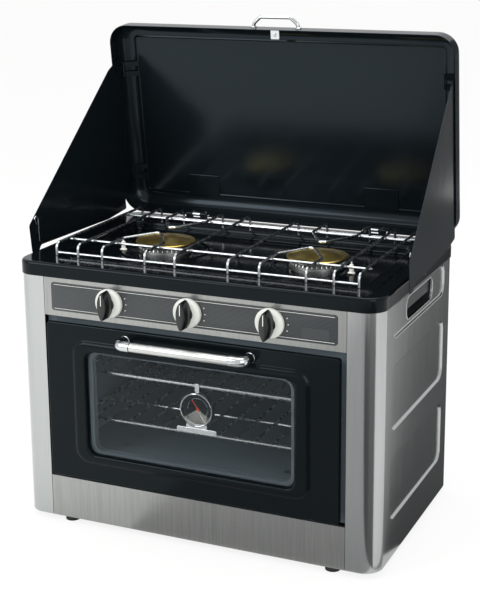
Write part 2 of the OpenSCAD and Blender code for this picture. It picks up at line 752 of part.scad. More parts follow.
// Turned so that the pan's opening faces forward
module lid_pan_place() translate([0, 0, lid_mid_v]) rotate([-90, 0, 0]) children();
notch_w = 38;
module lid_shell() color(black) in_lid() difference() {
    lid_pan_place() pan(lid_w, lid_l, lid_depth, lid_corner_r, lid_edge_r, sheet);
    // a pressed line round the panel
    lid_pan_place() translate([0, 0, lid_depth - sheet - 1]) linear_extrude(1.4)
        frame(2*field_x, lid_l - 42, 27, 3);
    for (s = [-1, 1]) translate([s*hinge_x - notch_w/2, -1, lid_low_v - 1]) cube([notch_w, hinge_u + 5, 4]);
}

module lid_hinge_plates() color(black) in_lid() for (s = [-1, 1])
    translate([s*hinge_x - 26, lid_depth - sheet - 1, lid_low_v + lid_edge_r]) cube([52, 1, 34]);

module lid_hinge_leaves() color(chrome) in_lid() for (s = [-1, 1]) translate([s*hinge_x, hinge_u, 0]) difference() {
    union() {
        along_x(-5.7, 0, 0, 11.4, knuckle_r);
        translate([-5.7, 0, lid_low_v + sheet]) cube([11.4, 8, 1.2]);
        translate([-17, 4.2, lid_low_v + sheet]) cube([34, 8.6, 1.2]);
    }
    along_x(-9, 0, 0, 18, hinge_pin_r + fit);
}

module lid_hinge_bases() color(black) at_front() for (s = [-1, 1])
    translate([s*hinge_x, hinge_y, hinge_z]) {
        along_x(-17, 0, 0, 34, hinge_pin_r);
        for (x = [-17, 6.3]) {
            along_x(x, 0, 0, 10.7, knuckle_r);
            translate([x, -knuckle_r, -hinge_rise]) cube([10.7, knuckle_r + 1, hinge_rise]);
        }
        translate([-17, -22, -hinge_rise]) cube([34, 19.5, 1.2]);
    }

module lid_handle() color(chrome) in_lid() {
    top_v = lid_low_v + lid_l;
    foot_u = lid_depth - lid_edge_r - 4;
    wire([[-34, foot_u, top_v], [-34, foot_u, top_v + 7], [-22, foot_u, top_v + 15], [22, foot_u, top_v + 15],
        [34, foot_u, top_v + 7], [34, foot_u, top_v]], 2.6);
    for (x = [-34, 34]) translate([x, foot_u, top_v]) cylinder(h = 2, r = 4.5);
}

module lid_catch() color(chrome) in_lid() {
    top_in = lid_low_v + lid_l - sheet;
    translate([-6.5, 8, top_in - 15]) cube([13, 1.5, 15]);
    translate([-6.5, 8, top_in - 1.5]) cube([13, 9, 1.5]);
    translate([0, 8, top_in - 8]) rotate([90, 0, 0]) cylinder(h = 1.2, r = 2.6);
}

module lid_screws() color(chrome) in_lid() for (s = [-1, 1], x = [-10, 10])
    translate([s*hinge_x + x, hinge_u + 9, lid_low_v + sheet + 1.2]) cylinder(h = 1.6, r = 2.6);

// Wind shields

module at_pin(s) translate([0, shield_pin_u[s > 0 ? 0 : 1], 0]) children();
bracket_half = 11;
bracket_gap = 3.7;
module shield_brackets() color(black) in_lid() for (s = [-1, 1]) side(s) {
    pu = shield_pin_u[s > 0 ? 0 : 1];
    foot_u = lid_depth - sheet;
    web_x = lid_w/2 - lid_edge_r - 6;
    for (v = shield_hinge_v) translate([0, 0, v]) {
        for (z = [-bracket_half, bracket_gap]) translate([0, 0, z]) {
            translate([pin_x, pu, 0]) cylinder(h = bracket_half - bracket_gap, r = pin_r_out);
            linear_extrude(bracket_half - bracket_gap) polygon([[web_x, foot_u - 1], [web_x, foot_u],
                [web_x + 1.4, foot_u], [pin_x + 0.8, pu + 1], [pin_x - 0.8, pu + 0.4]]);
        }
        translate([pin_x, pu, -bracket_half]) cylinder(h = 2*bracket_half, r = shield_pin_r);
        translate([web_x - 12, foot_u - 1, -bracket_half]) cube([12.5, 1, 2*bracket_half]);
    }
}

// Turns a drawing in s, forward from the pin, and v into the open shield's place
module in_shield(s) in_lid() side(s) translate([pin_x, shield_pin_u[s > 0 ? 0 : 1], 0])
    rotate([0, 0, shield_flare]) children();
module shield_sheet(t) rotate([90, 0, -90]) linear_extrude(t) children();
// Height along the pin of a point s forward of it that lies at height z when the lid stands open
function low_v(s, z, pu) = (z - hinge_z - (pu - s - hinge_u)*sin(lid_lean))/cos(lid_lean);

module shield(s) color(black) in_shield(s) {
    pu = shield_pin_u[s > 0 ? 0 : 1];
    front_v = low_v(shield_l, shield_low_z, pu);
    rear_s = 2.6;
    // a notch keeps the sheet clear of the lid's round lower corner
    notch_s = pu + 0.8;
    round_v = lid_low_v + lid_corner_r + 1;
    difference() {
        translate([plate_out + sheet/2, 0, 0]) shield_sheet(sheet) polygon([
            [rear_s, round_v], [rear_s, shield_h], [shoulder_s, shield_h - shoulder_drop],
            [shield_l, front_v + front_edge_h], [shield_l, front_v], [notch_s, low_v(notch_s, shield_low_z, pu)],
            [notch_s, round_v]]);
        // the hole that the clip's end passes through
        translate([plate_out - 2, -shield_l + clip_in, front_v + 6]) rotate([0, 90, 0]) cylinder(h = 4, r = 1.6);
    }
}

module shield_hinges(s) color(black) in_shield(s) for (v = shield_hinge_v) translate([0, 0, v]) {
    half = bracket_gap - rest_gap;
    in_face = plate_out - sheet/2;
    difference() {
        union() {
            translate([0, 0, -half]) cylinder(h = 2*half, r = pin_r_out);
            translate([in_face - 1, -5, -half]) cube([1, 5, 2*half]);
            translate([in_face - 1, -14, -bracket_half]) cube([1, 10, 2*bracket_half]);
        }
        translate([0, 0, -half - 1]) cylinder(h = 2*half + 2, r = shield_pin_r + fit);
    }
    for (z = [-7, 7]) translate([in_face - 2, -10, z]) rotate([0, 90, 0]) cylinder(h = 1.2, r = 1.4);
}

clip_in = 14;
clip_r = 0.8;
module shield_clip(s) color(chrome) in_shield(s) {
    v = low_v(shield_l, shield_low_z, shield_pin_u[s > 0 ? 0 : 1]) + 6;
    leg_x = plate_out - sheet/2 - clip_r - 0.3;
    q = -shield_l + clip_in;
    // a short end through the shield's hole, then a hairpin down its inner face
    along_x(leg_x, q, v, plate_out + 1.2 - leg_x, clip_r);
    translate([leg_x, q, v - 1]) cylinder(h = 16, r = clip_r + 0.1);
    along_y(leg_x, q, v + 13, 6, clip_r - 0.1);
    translate([leg_x, q + 6, v + 4]) cylinder(h = 11, r = clip_r);
}

side_panel(-1);  // side_panel_left
side_panel(1);  // side_panel_right
rear_panel();
base_panel();
feet();
lower_front_panel();
control_panel();
control_label();
handle_cups();
oven_liner();
oven_floor();
oven_burner();
oven_feed_pipe();
rack_guides();
oven_rack(upper_z);  // oven_rack_upper
oven_rack(lower_z);  // oven_rack_lower
gauge_case();
gauge_dial();
gauge_needle();
door_hinge_pins();
hob_tray();
burner_bases();
burner_rings();
burner_caps();
igniters();
gas_manifold();
gas_valves();
gas_inlet();
body_screws();
lid_hinge_bases();
pan_support();
pan_support_bends();
lid_shell();
lid_hinge_plates();
lid_hinge_leaves();
lid_handle();
lid_catch();
lid_screws();
shield_brackets();
shield(1);  // shield_right
shield_hinges(1);  // shield_right_hinges
shield_clip(1);  // shield_right_clip
shield(-1);  // shield_left
shield_hinges(-1);  // shield_left_hinges
shield_clip(-1);  // shield_left_clip
door_panel();
door_glass();
door_inner_panel();
door_handle_bar();
door_handle_brackets();
knob(knob_x[0]);  // knob_left
knob_skirt(knob_x[0]);  // knob_left_skirt
valve_stem(knob_x[0]);  // valve_stem_left
knob(knob_x[1]);  // knob_middle
knob_skirt(knob_x[1]);  // knob_middle_skirt
valve_stem(knob_x[1]);  // valve_stem_middle
knob(knob_x[2]);  // knob_right
knob_skirt(knob_x[2]);  // knob_right_skirt
valve_stem(knob_x[2]);  // valve_stem_right
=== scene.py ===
import math

import bpy
from mathutils import Matrix, Vector


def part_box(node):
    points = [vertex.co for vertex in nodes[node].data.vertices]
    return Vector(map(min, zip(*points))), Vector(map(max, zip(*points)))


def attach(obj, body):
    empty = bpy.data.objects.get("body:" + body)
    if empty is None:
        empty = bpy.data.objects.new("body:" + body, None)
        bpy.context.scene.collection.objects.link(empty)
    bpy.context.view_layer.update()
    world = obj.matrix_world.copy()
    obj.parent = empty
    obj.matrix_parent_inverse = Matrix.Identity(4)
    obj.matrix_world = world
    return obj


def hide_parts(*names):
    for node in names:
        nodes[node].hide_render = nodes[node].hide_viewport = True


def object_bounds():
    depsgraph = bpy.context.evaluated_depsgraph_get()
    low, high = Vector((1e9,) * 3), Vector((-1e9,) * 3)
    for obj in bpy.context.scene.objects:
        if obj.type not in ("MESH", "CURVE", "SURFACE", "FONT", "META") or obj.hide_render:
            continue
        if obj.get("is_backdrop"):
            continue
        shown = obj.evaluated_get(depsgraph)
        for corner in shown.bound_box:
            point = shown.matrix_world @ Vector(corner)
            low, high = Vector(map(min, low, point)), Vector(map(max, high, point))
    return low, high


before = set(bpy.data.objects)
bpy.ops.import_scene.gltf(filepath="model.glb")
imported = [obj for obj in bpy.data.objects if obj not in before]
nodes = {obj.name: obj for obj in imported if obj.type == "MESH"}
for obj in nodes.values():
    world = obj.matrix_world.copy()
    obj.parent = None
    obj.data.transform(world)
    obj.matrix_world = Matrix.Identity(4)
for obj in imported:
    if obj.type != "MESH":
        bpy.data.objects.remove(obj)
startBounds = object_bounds()
mm = 0.001
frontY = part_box("control_panel")[0][1] / mm  # the front panels' face; places below are measured from it
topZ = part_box("hob_tray")[1][2] / mm  # the tray's top
print("frame loaded, front at", round(frontY, 2), "tray top at", round(topZ, 2))


def place(x, y, z):
    return Vector((x, y + frontY, z)) * mm


def linearColor(hexText, alpha=1.0):
    # sRGB hex to the linear values that Blender works with
    channels = [int(hexText[i:i + 2], 16) / 255 for i in (1, 3, 5)]
    return [c / 12.92 if c <= 0.04045 else ((c + 0.055) / 1.055) ** 2.4 for c in channels] + [alpha]


# Materials


def addNode(material, kind, settings=None, values=None, links=None):
    # one node with its settings, its plain input values, and links from other sockets
    node = material.node_tree.nodes.new(kind)
    for key, value in (settings or {}).items():
        setattr(node, key, value)
    for key, value in (values or {}).items():
        node.inputs[key].default_value = value
    for key, socket in (links or {}).items():
        material.node_tree.links.new(socket, node.inputs[key])
    return node


def newMaterial(name, color, metallic=0.0, roughness=0.5, **more):
    material = bpy.data.materials.new(name)
    material.use_nodes = True
    shader = material.node_tree.nodes["Principled BSDF"]
    shader.inputs["Base Color"].default_value = linearColor(color)
    shader.inputs["Metallic"].default_value = metallic
    shader.inputs["Roughness"].default_value = roughness
    for key, value in more.items():
        shader.inputs[key.replace("_", " ")].default_value = value
    return material, shader


def objectPattern(material, scale=(1, 1, 1), move=(0, 0, 0)):
    # Object coordinates in millimetres, stretched by scale
    where = addNode(material, "ShaderNodeTexCoord")
    return addNode(material, "ShaderNodeMapping",
                   values={"Scale": [1000 * s for s in scale], "Location": move},
                   links={"Vector": where.outputs["Object"]}).outputs["Vector"]


def linkTo(material, socket, shader, name):
    material.node_tree.links.new(socket, shader.inputs[name])


def bumpFrom(material, shader, height, strength, distance):
    bump = addNode(material, "ShaderNodeBump", values={"Strength": strength, "Distance": distance},
                   links={"Height": height})
    linkTo(material, bump.outputs["Normal"], shader, "Normal")


def noiseIn(material, vector, scale, detail, **more):
    # a noise with scale lumps to the millimetre
    return addNode(material, "ShaderNodeTexNoise", values={"Scale": scale, "Detail": detail, **more},
                   links={"Vector": vector}).outputs["Fac"]


def colorBetween(material, shader, factor, low, high, start=0.0, end=1.0):
    # the base colour runs between two sRGB colours while the factor goes from start to end
    ramp = addNode(material, "ShaderNodeValToRGB", links={"Fac": factor})
    for element, color, position in zip(ramp.color_ramp.elements, (low, high), (start, end)):
        element.color = linearColor(color)
        element.position = position
    linkTo(material, ramp.outputs["Color"], shader, "Base Color")


def roughBetween(material, shader, factor, low, high):
    rough = addNode(material, "ShaderNodeMapRange", values={"To Min": low, "To Max": high},
                    links={"Value": factor})
    linkTo(material, rough.outputs["Result"], shader, "Roughness")


def makeStainless(name, color, dark, roughness, grain, depth=0.03):
    # cold-rolled stainless sheet with a fine ground grain, drawn about 3 mm wide so that it shows
    material, shader = newMaterial(name, color, 1.0, roughness)
    noise = noiseIn(material, objectPattern(material, grain), 1.0, 4.0, Roughness=0.6)
    colorBetween(material, shader, noise, dark, color, 0.3, 0.7)
    roughBetween(material, shader, noise, roughness - 0.05, roughness + 0.05)
    bumpFrom(material, shader, noise, depth, 0.0002)
    return material


def makeEnamel(name, color, roughness, wave, shine=0.22):
    # fired vitreous enamel: near black, glossy, with a long soft ripple and a few fine specks
    material, shader = newMaterial(name, color, 0.0, roughness, Specular_IOR_Level=shine,
                                   Specular_Tint=(0.72, 0.88, 1.0, 1.0))
    vector = objectPattern(material)
    ripple = noiseIn(material, vector, 1 / wave, 1.0)
    specks = noiseIn(material, vector, 0.9, 2.0)
    colorBetween(material, shader, specks, color, "#262c2f", 0.70, 0.78)
    bumpFrom(material, shader, ripple, 0.10, 0.0012)
    return material


def makeChrome(name, color, roughness):
    # nickel and chromium plating: a clear mirror with slight dull patches
    material, shader = newMaterial(name, color, 1.0, roughness)
    noise = noiseIn(material, objectPattern(material), 0.12, 3.0)
    roughBetween(material, shader, noise, roughness * 0.6, roughness * 1.5)
    return material


def makeBrass(name, color, dark):
    # machined brass, dulled in patches, with a fine grain
    material, shader = newMaterial(name, color, 1.0, 0.3)
    vector = objectPattern(material)
    colorBetween(material, shader, noiseIn(material, vector, 0.06, 4.0), dark, color, 0.35, 0.6)
    bumpFrom(material, shader, noiseIn(material, vector, 1.4, 2.0), 0.06, 0.0003)
    return material


def makeCast(name, color, roughness):
    # die-cast aluminium with its fine sandy skin
    material, shader = newMaterial(name, color, 1.0, roughness)
    bumpFrom(material, shader, noiseIn(material, objectPattern(material), 1.2, 3.0), 0.2, 0.0004)
    return material


def makePlastic(name, color, roughness, grit=1.5):
    # moulded plastic with a faint spark-eroded grain
    material, shader = newMaterial(name, color, 0.0, roughness)
    noise = noiseIn(material, objectPattern(material), grit, 2.0)
    bumpFrom(material, shader, noise, 0.06, 0.0002)
    roughBetween(material, shader, noise, roughness - 0.04, roughness + 0.05)
    return material


def makeLabel(name):
    # printed metal foil: charcoal with a hatch of fine level lines, 1.6 mm apart so that they show
    material, shader = newMaterial(name, "#1a1d1e", 0.0, 0.32)
    wave = addNode(material, "ShaderNodeTexWave", {"wave_type": "BANDS", "bands_direction": "Z"},
                   values={"Scale": 0.31 / 1.6, "Distortion": 0.0},
                   links={"Vector": objectPattern(material)})
    colorBetween(material, shader, wave.outputs["Fac"], "#14181a", "#3b4143")
    return material


def makeGlass(name):
    # toughened soda-lime glass; its dark base colour is painted shade that stands for the shaded oven behind
    # it
    material, shader = newMaterial(name, "#2a3438", 0.0, 0.03, Alpha=0.14)
    bumpFrom(material, shader, noiseIn(material, objectPattern(material), 0.02, 1.0), 0.03, 0.002)
    return material


looks = {
    "stainless": makeStainless("groundStainless", "#9b9c9a", "#8c8e8d", 0.3, (0.35, 0.35, 0.012)),
    "sideStainless": makeStainless("groundStainlessSides", "#a8abab", "#a3a6a6", 0.17, (0.35, 0.35, 0.012),
                                   0.006),
    "galvanised": makeStainless("galvanisedSheet", "#9aa0a0", "#7b8283", 0.42, (0.06, 0.06, 0.06)),
    "satinSteel": makeStainless("satinSteelTube", "#c7c9c6", "#b3b6b4", 0.3, (0.02, 0.5, 0.5)),
    "blackEnamel": makeEnamel("blackVitreousEnamel", "#0e1418", 0.16, 28.0),
    "rimEnamel": makeEnamel("rimVitreousEnamel", "#070a0c", 0.12, 28.0, 0.14),
    "doorEnamel": makeEnamel("doorVitreousEnamel", "#080c0e", 0.16, 40.0, 0.13),
    "ovenEnamel": makeEnamel("greyOvenEnamel", "#59636a", 0.35, 20.0),
    "chrome": makeChrome("chromePlate", "#bcc0c2", 0.08),
    "wireChrome": makeChrome("chromedWire", "#b4b8ba", 0.26),
    "brass": makeBrass("turnedBrass", "#cdb56a", "#a98f46"),
    "brassFitting": makeBrass("yellowBrass", "#b99b4a", "#a0833a"),
    "cast": makeCast("castAluminium", "#a6a8a7", 0.38),
    "ringCast": makeCast("turnedAluminium", "#cfd0cd", 0.25),
    "rubber": makePlastic("blackRubber", "#161718", 0.7, 0.8),
    "knobBlack": makePlastic("glossBlackMoulding", "#0d0e0f", 0.18),
    "knobGrey": makePlastic("paleGreyMoulding", "#c9cdc6", 0.42),
    "label": makeLabel("printedFoil"),
    "labelBlock": makePlastic("printedBlock", "#2c3133", 0.3),
    "labelLine": makePlastic("printedLine", "#d9dbd6", 0.4),
    "dial": makePlastic("printedDial", "#e9e9e3", 0.35),
    "dialInk": makePlastic("dialInk", "#23262a", 0.5),
    "dialBand": makePlastic("dialBand", "#7f9aa6", 0.4),
    "red": makePlastic("redPaint", "#c4291c", 0.35),
    "ceramic": makePlastic("glazedCeramic", "#ecebe2", 0.25),
    "glass": makeGlass("toughenedGlass"),
    "darkHole": makePlastic("shadowedSteel", "#1b2022", 0.5),
    "greyCard": makePlastic("greyStudioCard", "#a4a4a4", 0.6),
}
print("materials made:", len(looks))

# Modelling tools

facings = {
    # turn of a flat outline, its outward direction, the axes of its width and height
    "front": ((math.pi / 2, 0, 0), Vector((0, -1, 0)), (0, 2)),
    "back": ((math.pi / 2, 0, math.pi), Vector((0, 1, 0)), (0, 2)),
    "right": ((math.pi / 2, 0, math.pi / 2), Vector((1, 0, 0)), (1, 2)),
    "left": ((math.pi / 2, 0, -math.pi / 2), Vector((-1, 0, 0)), (1, 2)),
    "up": ((0, 0, 0), Vector((0, 0, 1)), (0, 1)),
    "down": ((math.pi, 0, 0), Vector((0, 0, -1)), (0, 1)),
}


def deselectAll():
    if bpy.context.object and bpy.context.object.mode != "OBJECT":
        bpy.ops.object.mode_set(mode="OBJECT")
    bpy.ops.object.select_all(action="DESELECT")


def named(name):
    obj = bpy.context.active_object
    obj.name = name
    obj.data.name = name
    return obj


def makeActive(obj):
    deselectAll()
    obj.select_set(True)
    bpy.context.view_layer.objects.active = obj


def applyPlace(obj):
    makeActive(obj)
    bpy.ops.object.transform_apply(location=True, rotation=True, scale=True)


def roundOutline(name, facing, centre, width, height, radius, segments=8):
    # a flat rounded rectangle, its middle at centre
    deselectAll()
    bpy.ops.mesh.primitive_plane_add(size=1)
    obj = named(name)
    obj.scale = (width * mm, height * mm, 1)
    applyPlace(obj)
    if radius:
        bpy.ops.object.mode_set(mode="EDIT")
        bpy.ops.mesh.select_all(action="SELECT")
        bpy.ops.mesh.bevel(offset=radius * mm, segments=segments, affect="VERTICES")
        bpy.ops.object.mode_set(mode="OBJECT")
    obj.rotation_euler = facings[facing][0]
    obj.location = place(*centre)
    applyPlace(obj)
    return obj


def pressed(name, facing, centre, width, height, radius, steps, segments=8, openEnd=False, openStart=True):
    # A pressing made from a round outline. Each step is (inset, rise), or (new width, new height, rise).
    obj = roundOutline(name, facing, centre, width, height, radius, segments)
    outward, axes = facings[facing][1], facings[facing][2]
    middle = place(*centre)
    bpy.ops.object.mode_set(mode="EDIT")
    bpy.ops.mesh.select_mode(type="FACE")
    bpy.ops.mesh.select_all(action="SELECT")
    if not openStart:
        bpy.ops.mesh.extrude_region_move(TRANSFORM_OT_translate={"value": (0, 0, 0)})
    for step in steps:
        rise = outward * step[-1] * mm
        if len(step) == 2:
            if step[0]:
                bpy.ops.mesh.inset(thickness=step[0] * mm, depth=0)
                bpy.ops.transform.translate(value=rise)
                width, height = width - 2 * step[0], height - 2 * step[0]
            else:
                bpy.ops.mesh.extrude_region_move(TRANSFORM_OT_translate={"value": rise})
        else:
            bpy.ops.mesh.extrude_region_move(TRANSFORM_OT_translate={"value": rise})
            scale = [1, 1, 1]
            scale[axes[0]] = step[0] / width
            scale[axes[1]] = step[1] / height
            bpy.ops.transform.resize(value=scale, center_override=middle + rise)
            width, height = step[0], step[1]
        middle = middle + rise
    if openEnd:
        bpy.ops.mesh.delete(type="FACE")
    bpy.ops.mesh.select_all(action="DESELECT")
    bpy.ops.object.mode_set(mode="OBJECT")
    if openStart:
        # the outline's own face, which an extrusion leaves behind
        start = place(*centre)
        for face in obj.data.polygons:
            level = abs((face.center - start).dot(outward)) < 1e-6
            face.select = level and len(face.vertices) > 3 * segments
        bpy.ops.object.mode_set(mode="EDIT")
        bpy.ops.mesh.delete(type="FACE")
        bpy.ops.object.mode_set(mode="OBJECT")
    return obj


def quarterRound(radius, steps, inward=1):
    # insets and rises that roll a wall over through a quarter turn
    moves = []
    for i in range(steps):
        a, b = i * math.pi / 2 / steps, (i + 1) * math.pi / 2 / steps
        moves.append((radius * (math.cos(a) - math.cos(b)), inward * radius * (math.sin(b) - math.sin(a))))
    return moves


def thicken(obj, thickness, offset=-1):
    makeActive(obj)
    modifier = obj.modifiers.new("wall", "SOLIDIFY")
    modifier.thickness = thickness * mm
    modifier.offset = offset
    modifier.use_even_offset = True
    bpy.ops.object.modifier_apply(modifier=modifier.name)


def softenEdges(obj, width, segments=2, angle=35):
    makeActive(obj)
    modifier = obj.modifiers.new("edges", "BEVEL")
    modifier.width = width * mm
    modifier.segments = segments
    modifier.limit_method = "ANGLE"
    modifier.angle_limit = math.radians(angle)
    bpy.ops.object.modifier_apply(modifier=modifier.name)


def closedBlock(name, facing, centre, width, height, radius, depth, segments=6):
    obj = roundOutline(name, facing, centre, width, height, radius, segments)
    thicken(obj, depth, -1)
    return obj


def cutWith(obj, cutters):
    makeActive(obj)
    for cutter in cutters:
        modifier = obj.modifiers.new("cut", "BOOLEAN")
        modifier.operation = "DIFFERENCE"
        modifier.solver = "EXACT"
        modifier.object = cutter
        bpy.ops.object.modifier_apply(modifier=modifier.name)
    for cutter in cutters:
        bpy.data.objects.remove(cutter)


def joined(name, parts):
    deselectAll()
    for part in parts:
        part.select_set(True)
    bpy.context.view_layer.objects.active = parts[0]
    if len(parts) > 1:
        bpy.ops.object.join()
    return named(name)


def turned(name, centre, direction, profile, segments=64):
    # a round piece spun from a profile of (radius, height) points along direction
    deselectAll()
    bpy.ops.mesh.primitive_plane_add(size=1)
    obj = named(name)
    bpy.ops.object.mode_set(mode="EDIT")
    bpy.ops.mesh.select_all(action="SELECT")
    bpy.ops.mesh.merge(type="CENTER")
    bpy.ops.mesh.select_all(action="SELECT")
    bpy.ops.transform.translate(value=Vector((profile[0][0], 0, profile[0][1])) * mm)
    for (r0, h0), (r1, h1) in zip(profile, profile[1:]):
        step = Vector((r1 - r0, 0, h1 - h0)) * mm
        bpy.ops.mesh.extrude_vertices_move(TRANSFORM_OT_translate={"value": step})
    bpy.ops.mesh.select_all(action="SELECT")
    bpy.ops.mesh.spin(steps=segments, angle=2 * math.pi, center=(0, 0, 0), axis=(0, 0, 1))
    bpy.ops.mesh.select_all(action="SELECT")
    bpy.ops.mesh.remove_doubles(threshold=0.00001)
    bpy.ops.mesh.normals_make_consistent(inside=False)
    bpy.ops.object.mode_set(mode="OBJECT")
    obj.rotation_euler = Vector(direction).to_track_quat("Z", "Y").to_euler()
    obj.location = centre
    applyPlace(obj)
    return obj


def filleted(points, radius, steps=6):
    # the points of a wire with a round bend at each inner point
    result = [Vector(points[0])]
    for before, here, after in zip(points, points[1:], points[2:]):
        here = Vector(here)
        toBefore, toAfter = Vector(before) - here, Vector(after) - here
        half = toBefore.angle(toAfter) / 2
        reach = min(radius / math.tan(half), toBefore.length * 0.49, toAfter.length * 0.49)
        start, end = here + toBefore.normalized() * reach, here + toAfter.normalized() * reach
        bend = reach * math.tan(half)
        centre = here + (toBefore.normalized() + toAfter.normalized()).normalized() * bend / math.sin(half)
        for i in range(steps + 1):
            mix = (start - centre).lerp(end - centre, i / steps)
            result.append(centre + mix.normalized() * bend)
    result.append(Vector(points[-1]))
    return result


def wire(name, points, radius, bend=6, closed=False, sides=3):
    # round wire along points given in millimetres from the front
    path = [place(*p) for p in points]
    if closed:
        path = filleted(path[-1:] + path + path[:1], bend * mm)[1:-1]
    else:
        path = filleted(path, bend * mm) if len(path) > 2 else path
    curve = bpy.data.curves.new(name, "CURVE")
    curve.dimensions = "3D"
    curve.bevel_depth = radius * mm
    curve.bevel_resolution = sides
    curve.use_fill_caps = True
    spline = curve.splines.new("POLY")
    spline.points.add(len(path) - 1)
    for point, where in zip(spline.points, path):
        point.co = (*where, 1)
    spline.use_cyclic_u = closed
    obj = bpy.data.objects.new(name, curve)
    bpy.context.collection.objects.link(obj)
    makeActive(obj)
    bpy.ops.object.convert(target="MESH")
    return named(name)


def mirroredCopy(name, obj):
    deselectAll()
    copy = obj.copy()
    copy.data = obj.data.copy()
    bpy.context.collection.objects.link(copy)
    copy.scale = (-1, 1, 1)
    applyPlace(copy)
    bpy.ops.object.mode_set(mode="EDIT")
    bpy.ops.mesh.select_all(action="SELECT")
    bpy.ops.mesh.flip_normals()
    bpy.ops.object.mode_set(mode="OBJECT")
    return named(name)


def dress(obj, look, bodyName, replacedNodes=(), angle=30, level=False):
    # the finish of a piece, and what it moves with; level keeps the shading of big flat faces true
    makeActive(obj)
    obj.data.materials.clear()
    obj.data.materials.append(looks[look])
    bpy.ops.object.shade_smooth_by_angle(angle=math.radians(angle))
    if level:
        bpy.ops.object.modifier_add(type="WEIGHTED_NORMAL")
        obj.modifiers[-1].keep_sharp = True
        bpy.ops.object.modifier_apply(modifier=obj.modifiers[-1].name)
    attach(obj, bodyName)
    if replacedNodes:
        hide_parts(*replacedNodes)


# The lid's own directions: u into its depth, v up along it
lidLean = math.radians(7.2)
lidPlace = {"hingeY": 320.0, "hingeZ": topZ + 5.0, "rimU": 4.2, "foot": -2, "width": 524.7, "length": 289.0,
            "depth": 37.5}


def leanBack(obj):
    # a piece modelled upright about the lid's hinge line is turned to the lid's lean
    makeActive(obj)
    hinge = place(0, lidPlace["hingeY"], lidPlace["hingeZ"])
    turn = Matrix.Rotation(lidLean, 4, "X")
    obj.data.transform(Matrix.Translation(hinge) @ turn @ Matrix.Translation(-hinge))


def upright(x, u, v):
    # a place on the upright lid, before leanBack
    return (x, lidPlace["hingeY"] + u - lidPlace["rimU"], lidPlace["hingeZ"] + v)


# Body: side panels, front, rear and base

bodyBox = {"width": 515.0, "depth": 325.0, "foot": 9.0, "height": 343.0, "corner": 25.0, "front": 430.0,
           "sheet": 0.8, "underRim": 7, "lowWidth": 428.8, "lowHeight": 59}
fields = {"middle": 162.5, "length": 230.0, "low": 52.0, "pitch": 122.0, "height": 87.0, "radius": 16.0,
          "deep": 2.5, "toTop": 2}
slot = {"y": 170.0, "length": 116.0, "height": 31.0}


def fieldRows():
    # foot and height of the three fields; the upper one fills what is left
    base = bodyBox["foot"] + fields["low"]
    top = bodyBox["foot"] + bodyBox["height"] - fields["toTop"] - base - 2 * fields["pitch"]
    return [(base + i * fields["pitch"], high)
            for i, high in enumerate((fields["height"], fields["height"], top))]


def makeSidePanel():
    zLow = bodyBox["foot"]
    tall = bodyBox["height"] + bodyBox["underRim"]
    shell = roundOutline("rightPanel", "up", (0, bodyBox["depth"] / 2, zLow), bodyBox["width"],
                         bodyBox["depth"], bodyBox["corner"], 14)
    bpy.ops.object.mode_set(mode="EDIT")
    bpy.ops.mesh.select_all(action="SELECT")
    bpy.ops.mesh.extrude_region_move(TRANSFORM_OT_translate={"value": (0, 0, tall * mm)})
    bpy.ops.mesh.select_all(action="SELECT")
    bpy.ops.mesh.normals_make_consistent(inside=False)
    bpy.ops.mesh.select_mode(type="FACE")
    bpy.ops.mesh.select_all(action="DESELECT")
    bpy.ops.object.mode_set(mode="OBJECT")
    for face in shell.data.polygons:
        face.select = abs(face.normal.z) > 0.9
    bpy.ops.object.mode_set(mode="EDIT")
    bpy.ops.mesh.delete(type="FACE")
    bpy.ops.mesh.select_all(action="SELECT")
    bpy.ops.mesh.bisect(plane_co=(bodyBox["front"] / 2 * mm, 0, 0), plane_no=(1, 0, 0),
                        clear_inner=True)
    bpy.ops.object.mode_set(mode="OBJECT")
    thicken(shell, bodyBox["sheet"])
    parts = []
    cutters = []
    outerX = bodyBox["width"] / 2
    for i, (z, high) in enumerate(fieldRows()):
        centre = (outerX, fields["middle"], z + high / 2)
        cutters.append(closedBlock("cut", "right", (outerX + 3, centre[1], centre[2]), fields["length"],
                                   high, fields["radius"], 8, 10))
        pan = pressed("pan", "right", centre, fields["length"], high, fields["radius"],
                      [(0.5, -0.15), (0.5, -0.4), (1.0, -1.2), (0.8, -0.55), (0.8, -0.2)], 10)
        if i == 2:
            slotCut = closedBlock("slotCut", "right", (outerX + 3, slot["y"], centre[2]), slot["length"],
                                  slot["height"], slot["height"] / 2 - 3, 12, 10)
            cutWith(pan, [slotCut])
            lip = pressed("lip", "right", (outerX - fields["deep"] - 0.2, slot["y"], centre[2]),
                          slot["length"] + 3, slot["height"] + 3, slot["height"] / 2 - 1.5,
                          [(0.7, 0.5), (0.8, 0.1), (0.8, -0.6), (0.4, -2.5)], 10, openEnd=True)
            parts.append(lip)
        parts.append(pan)
    cutWith(shell, cutters)
    return joined("sidePanelRight", [shell] + parts)


# CAD nodes that stay as they are and only get a look
plainNodes = {
    "stainless": ("control_panel",),
    "galvanised": ("rear_panel", "base_panel", "oven_burner", "door_hinge_pins", "gas_manifold"),
    "rubber": ("feet",),
    "darkHole": ("handle_cups",),
    "ovenEnamel": ("oven_liner", "oven_floor", "door_inner_panel"),
    "wireChrome": ("rack_guides",),
    "brassFitting": ("gas_valves", "gas_inlet", "valve_stem_left", "valve_stem_middle", "valve_stem_right"),
    "cast": ("burner_bases",),
    "chrome": ("body_screws", "lid_hinge_leaves", "lid_screws"),
    "blackEnamel": ("lid_hinge_bases", "shield_brackets", "shield_right_hinges", "shield_left_hinges"),
}


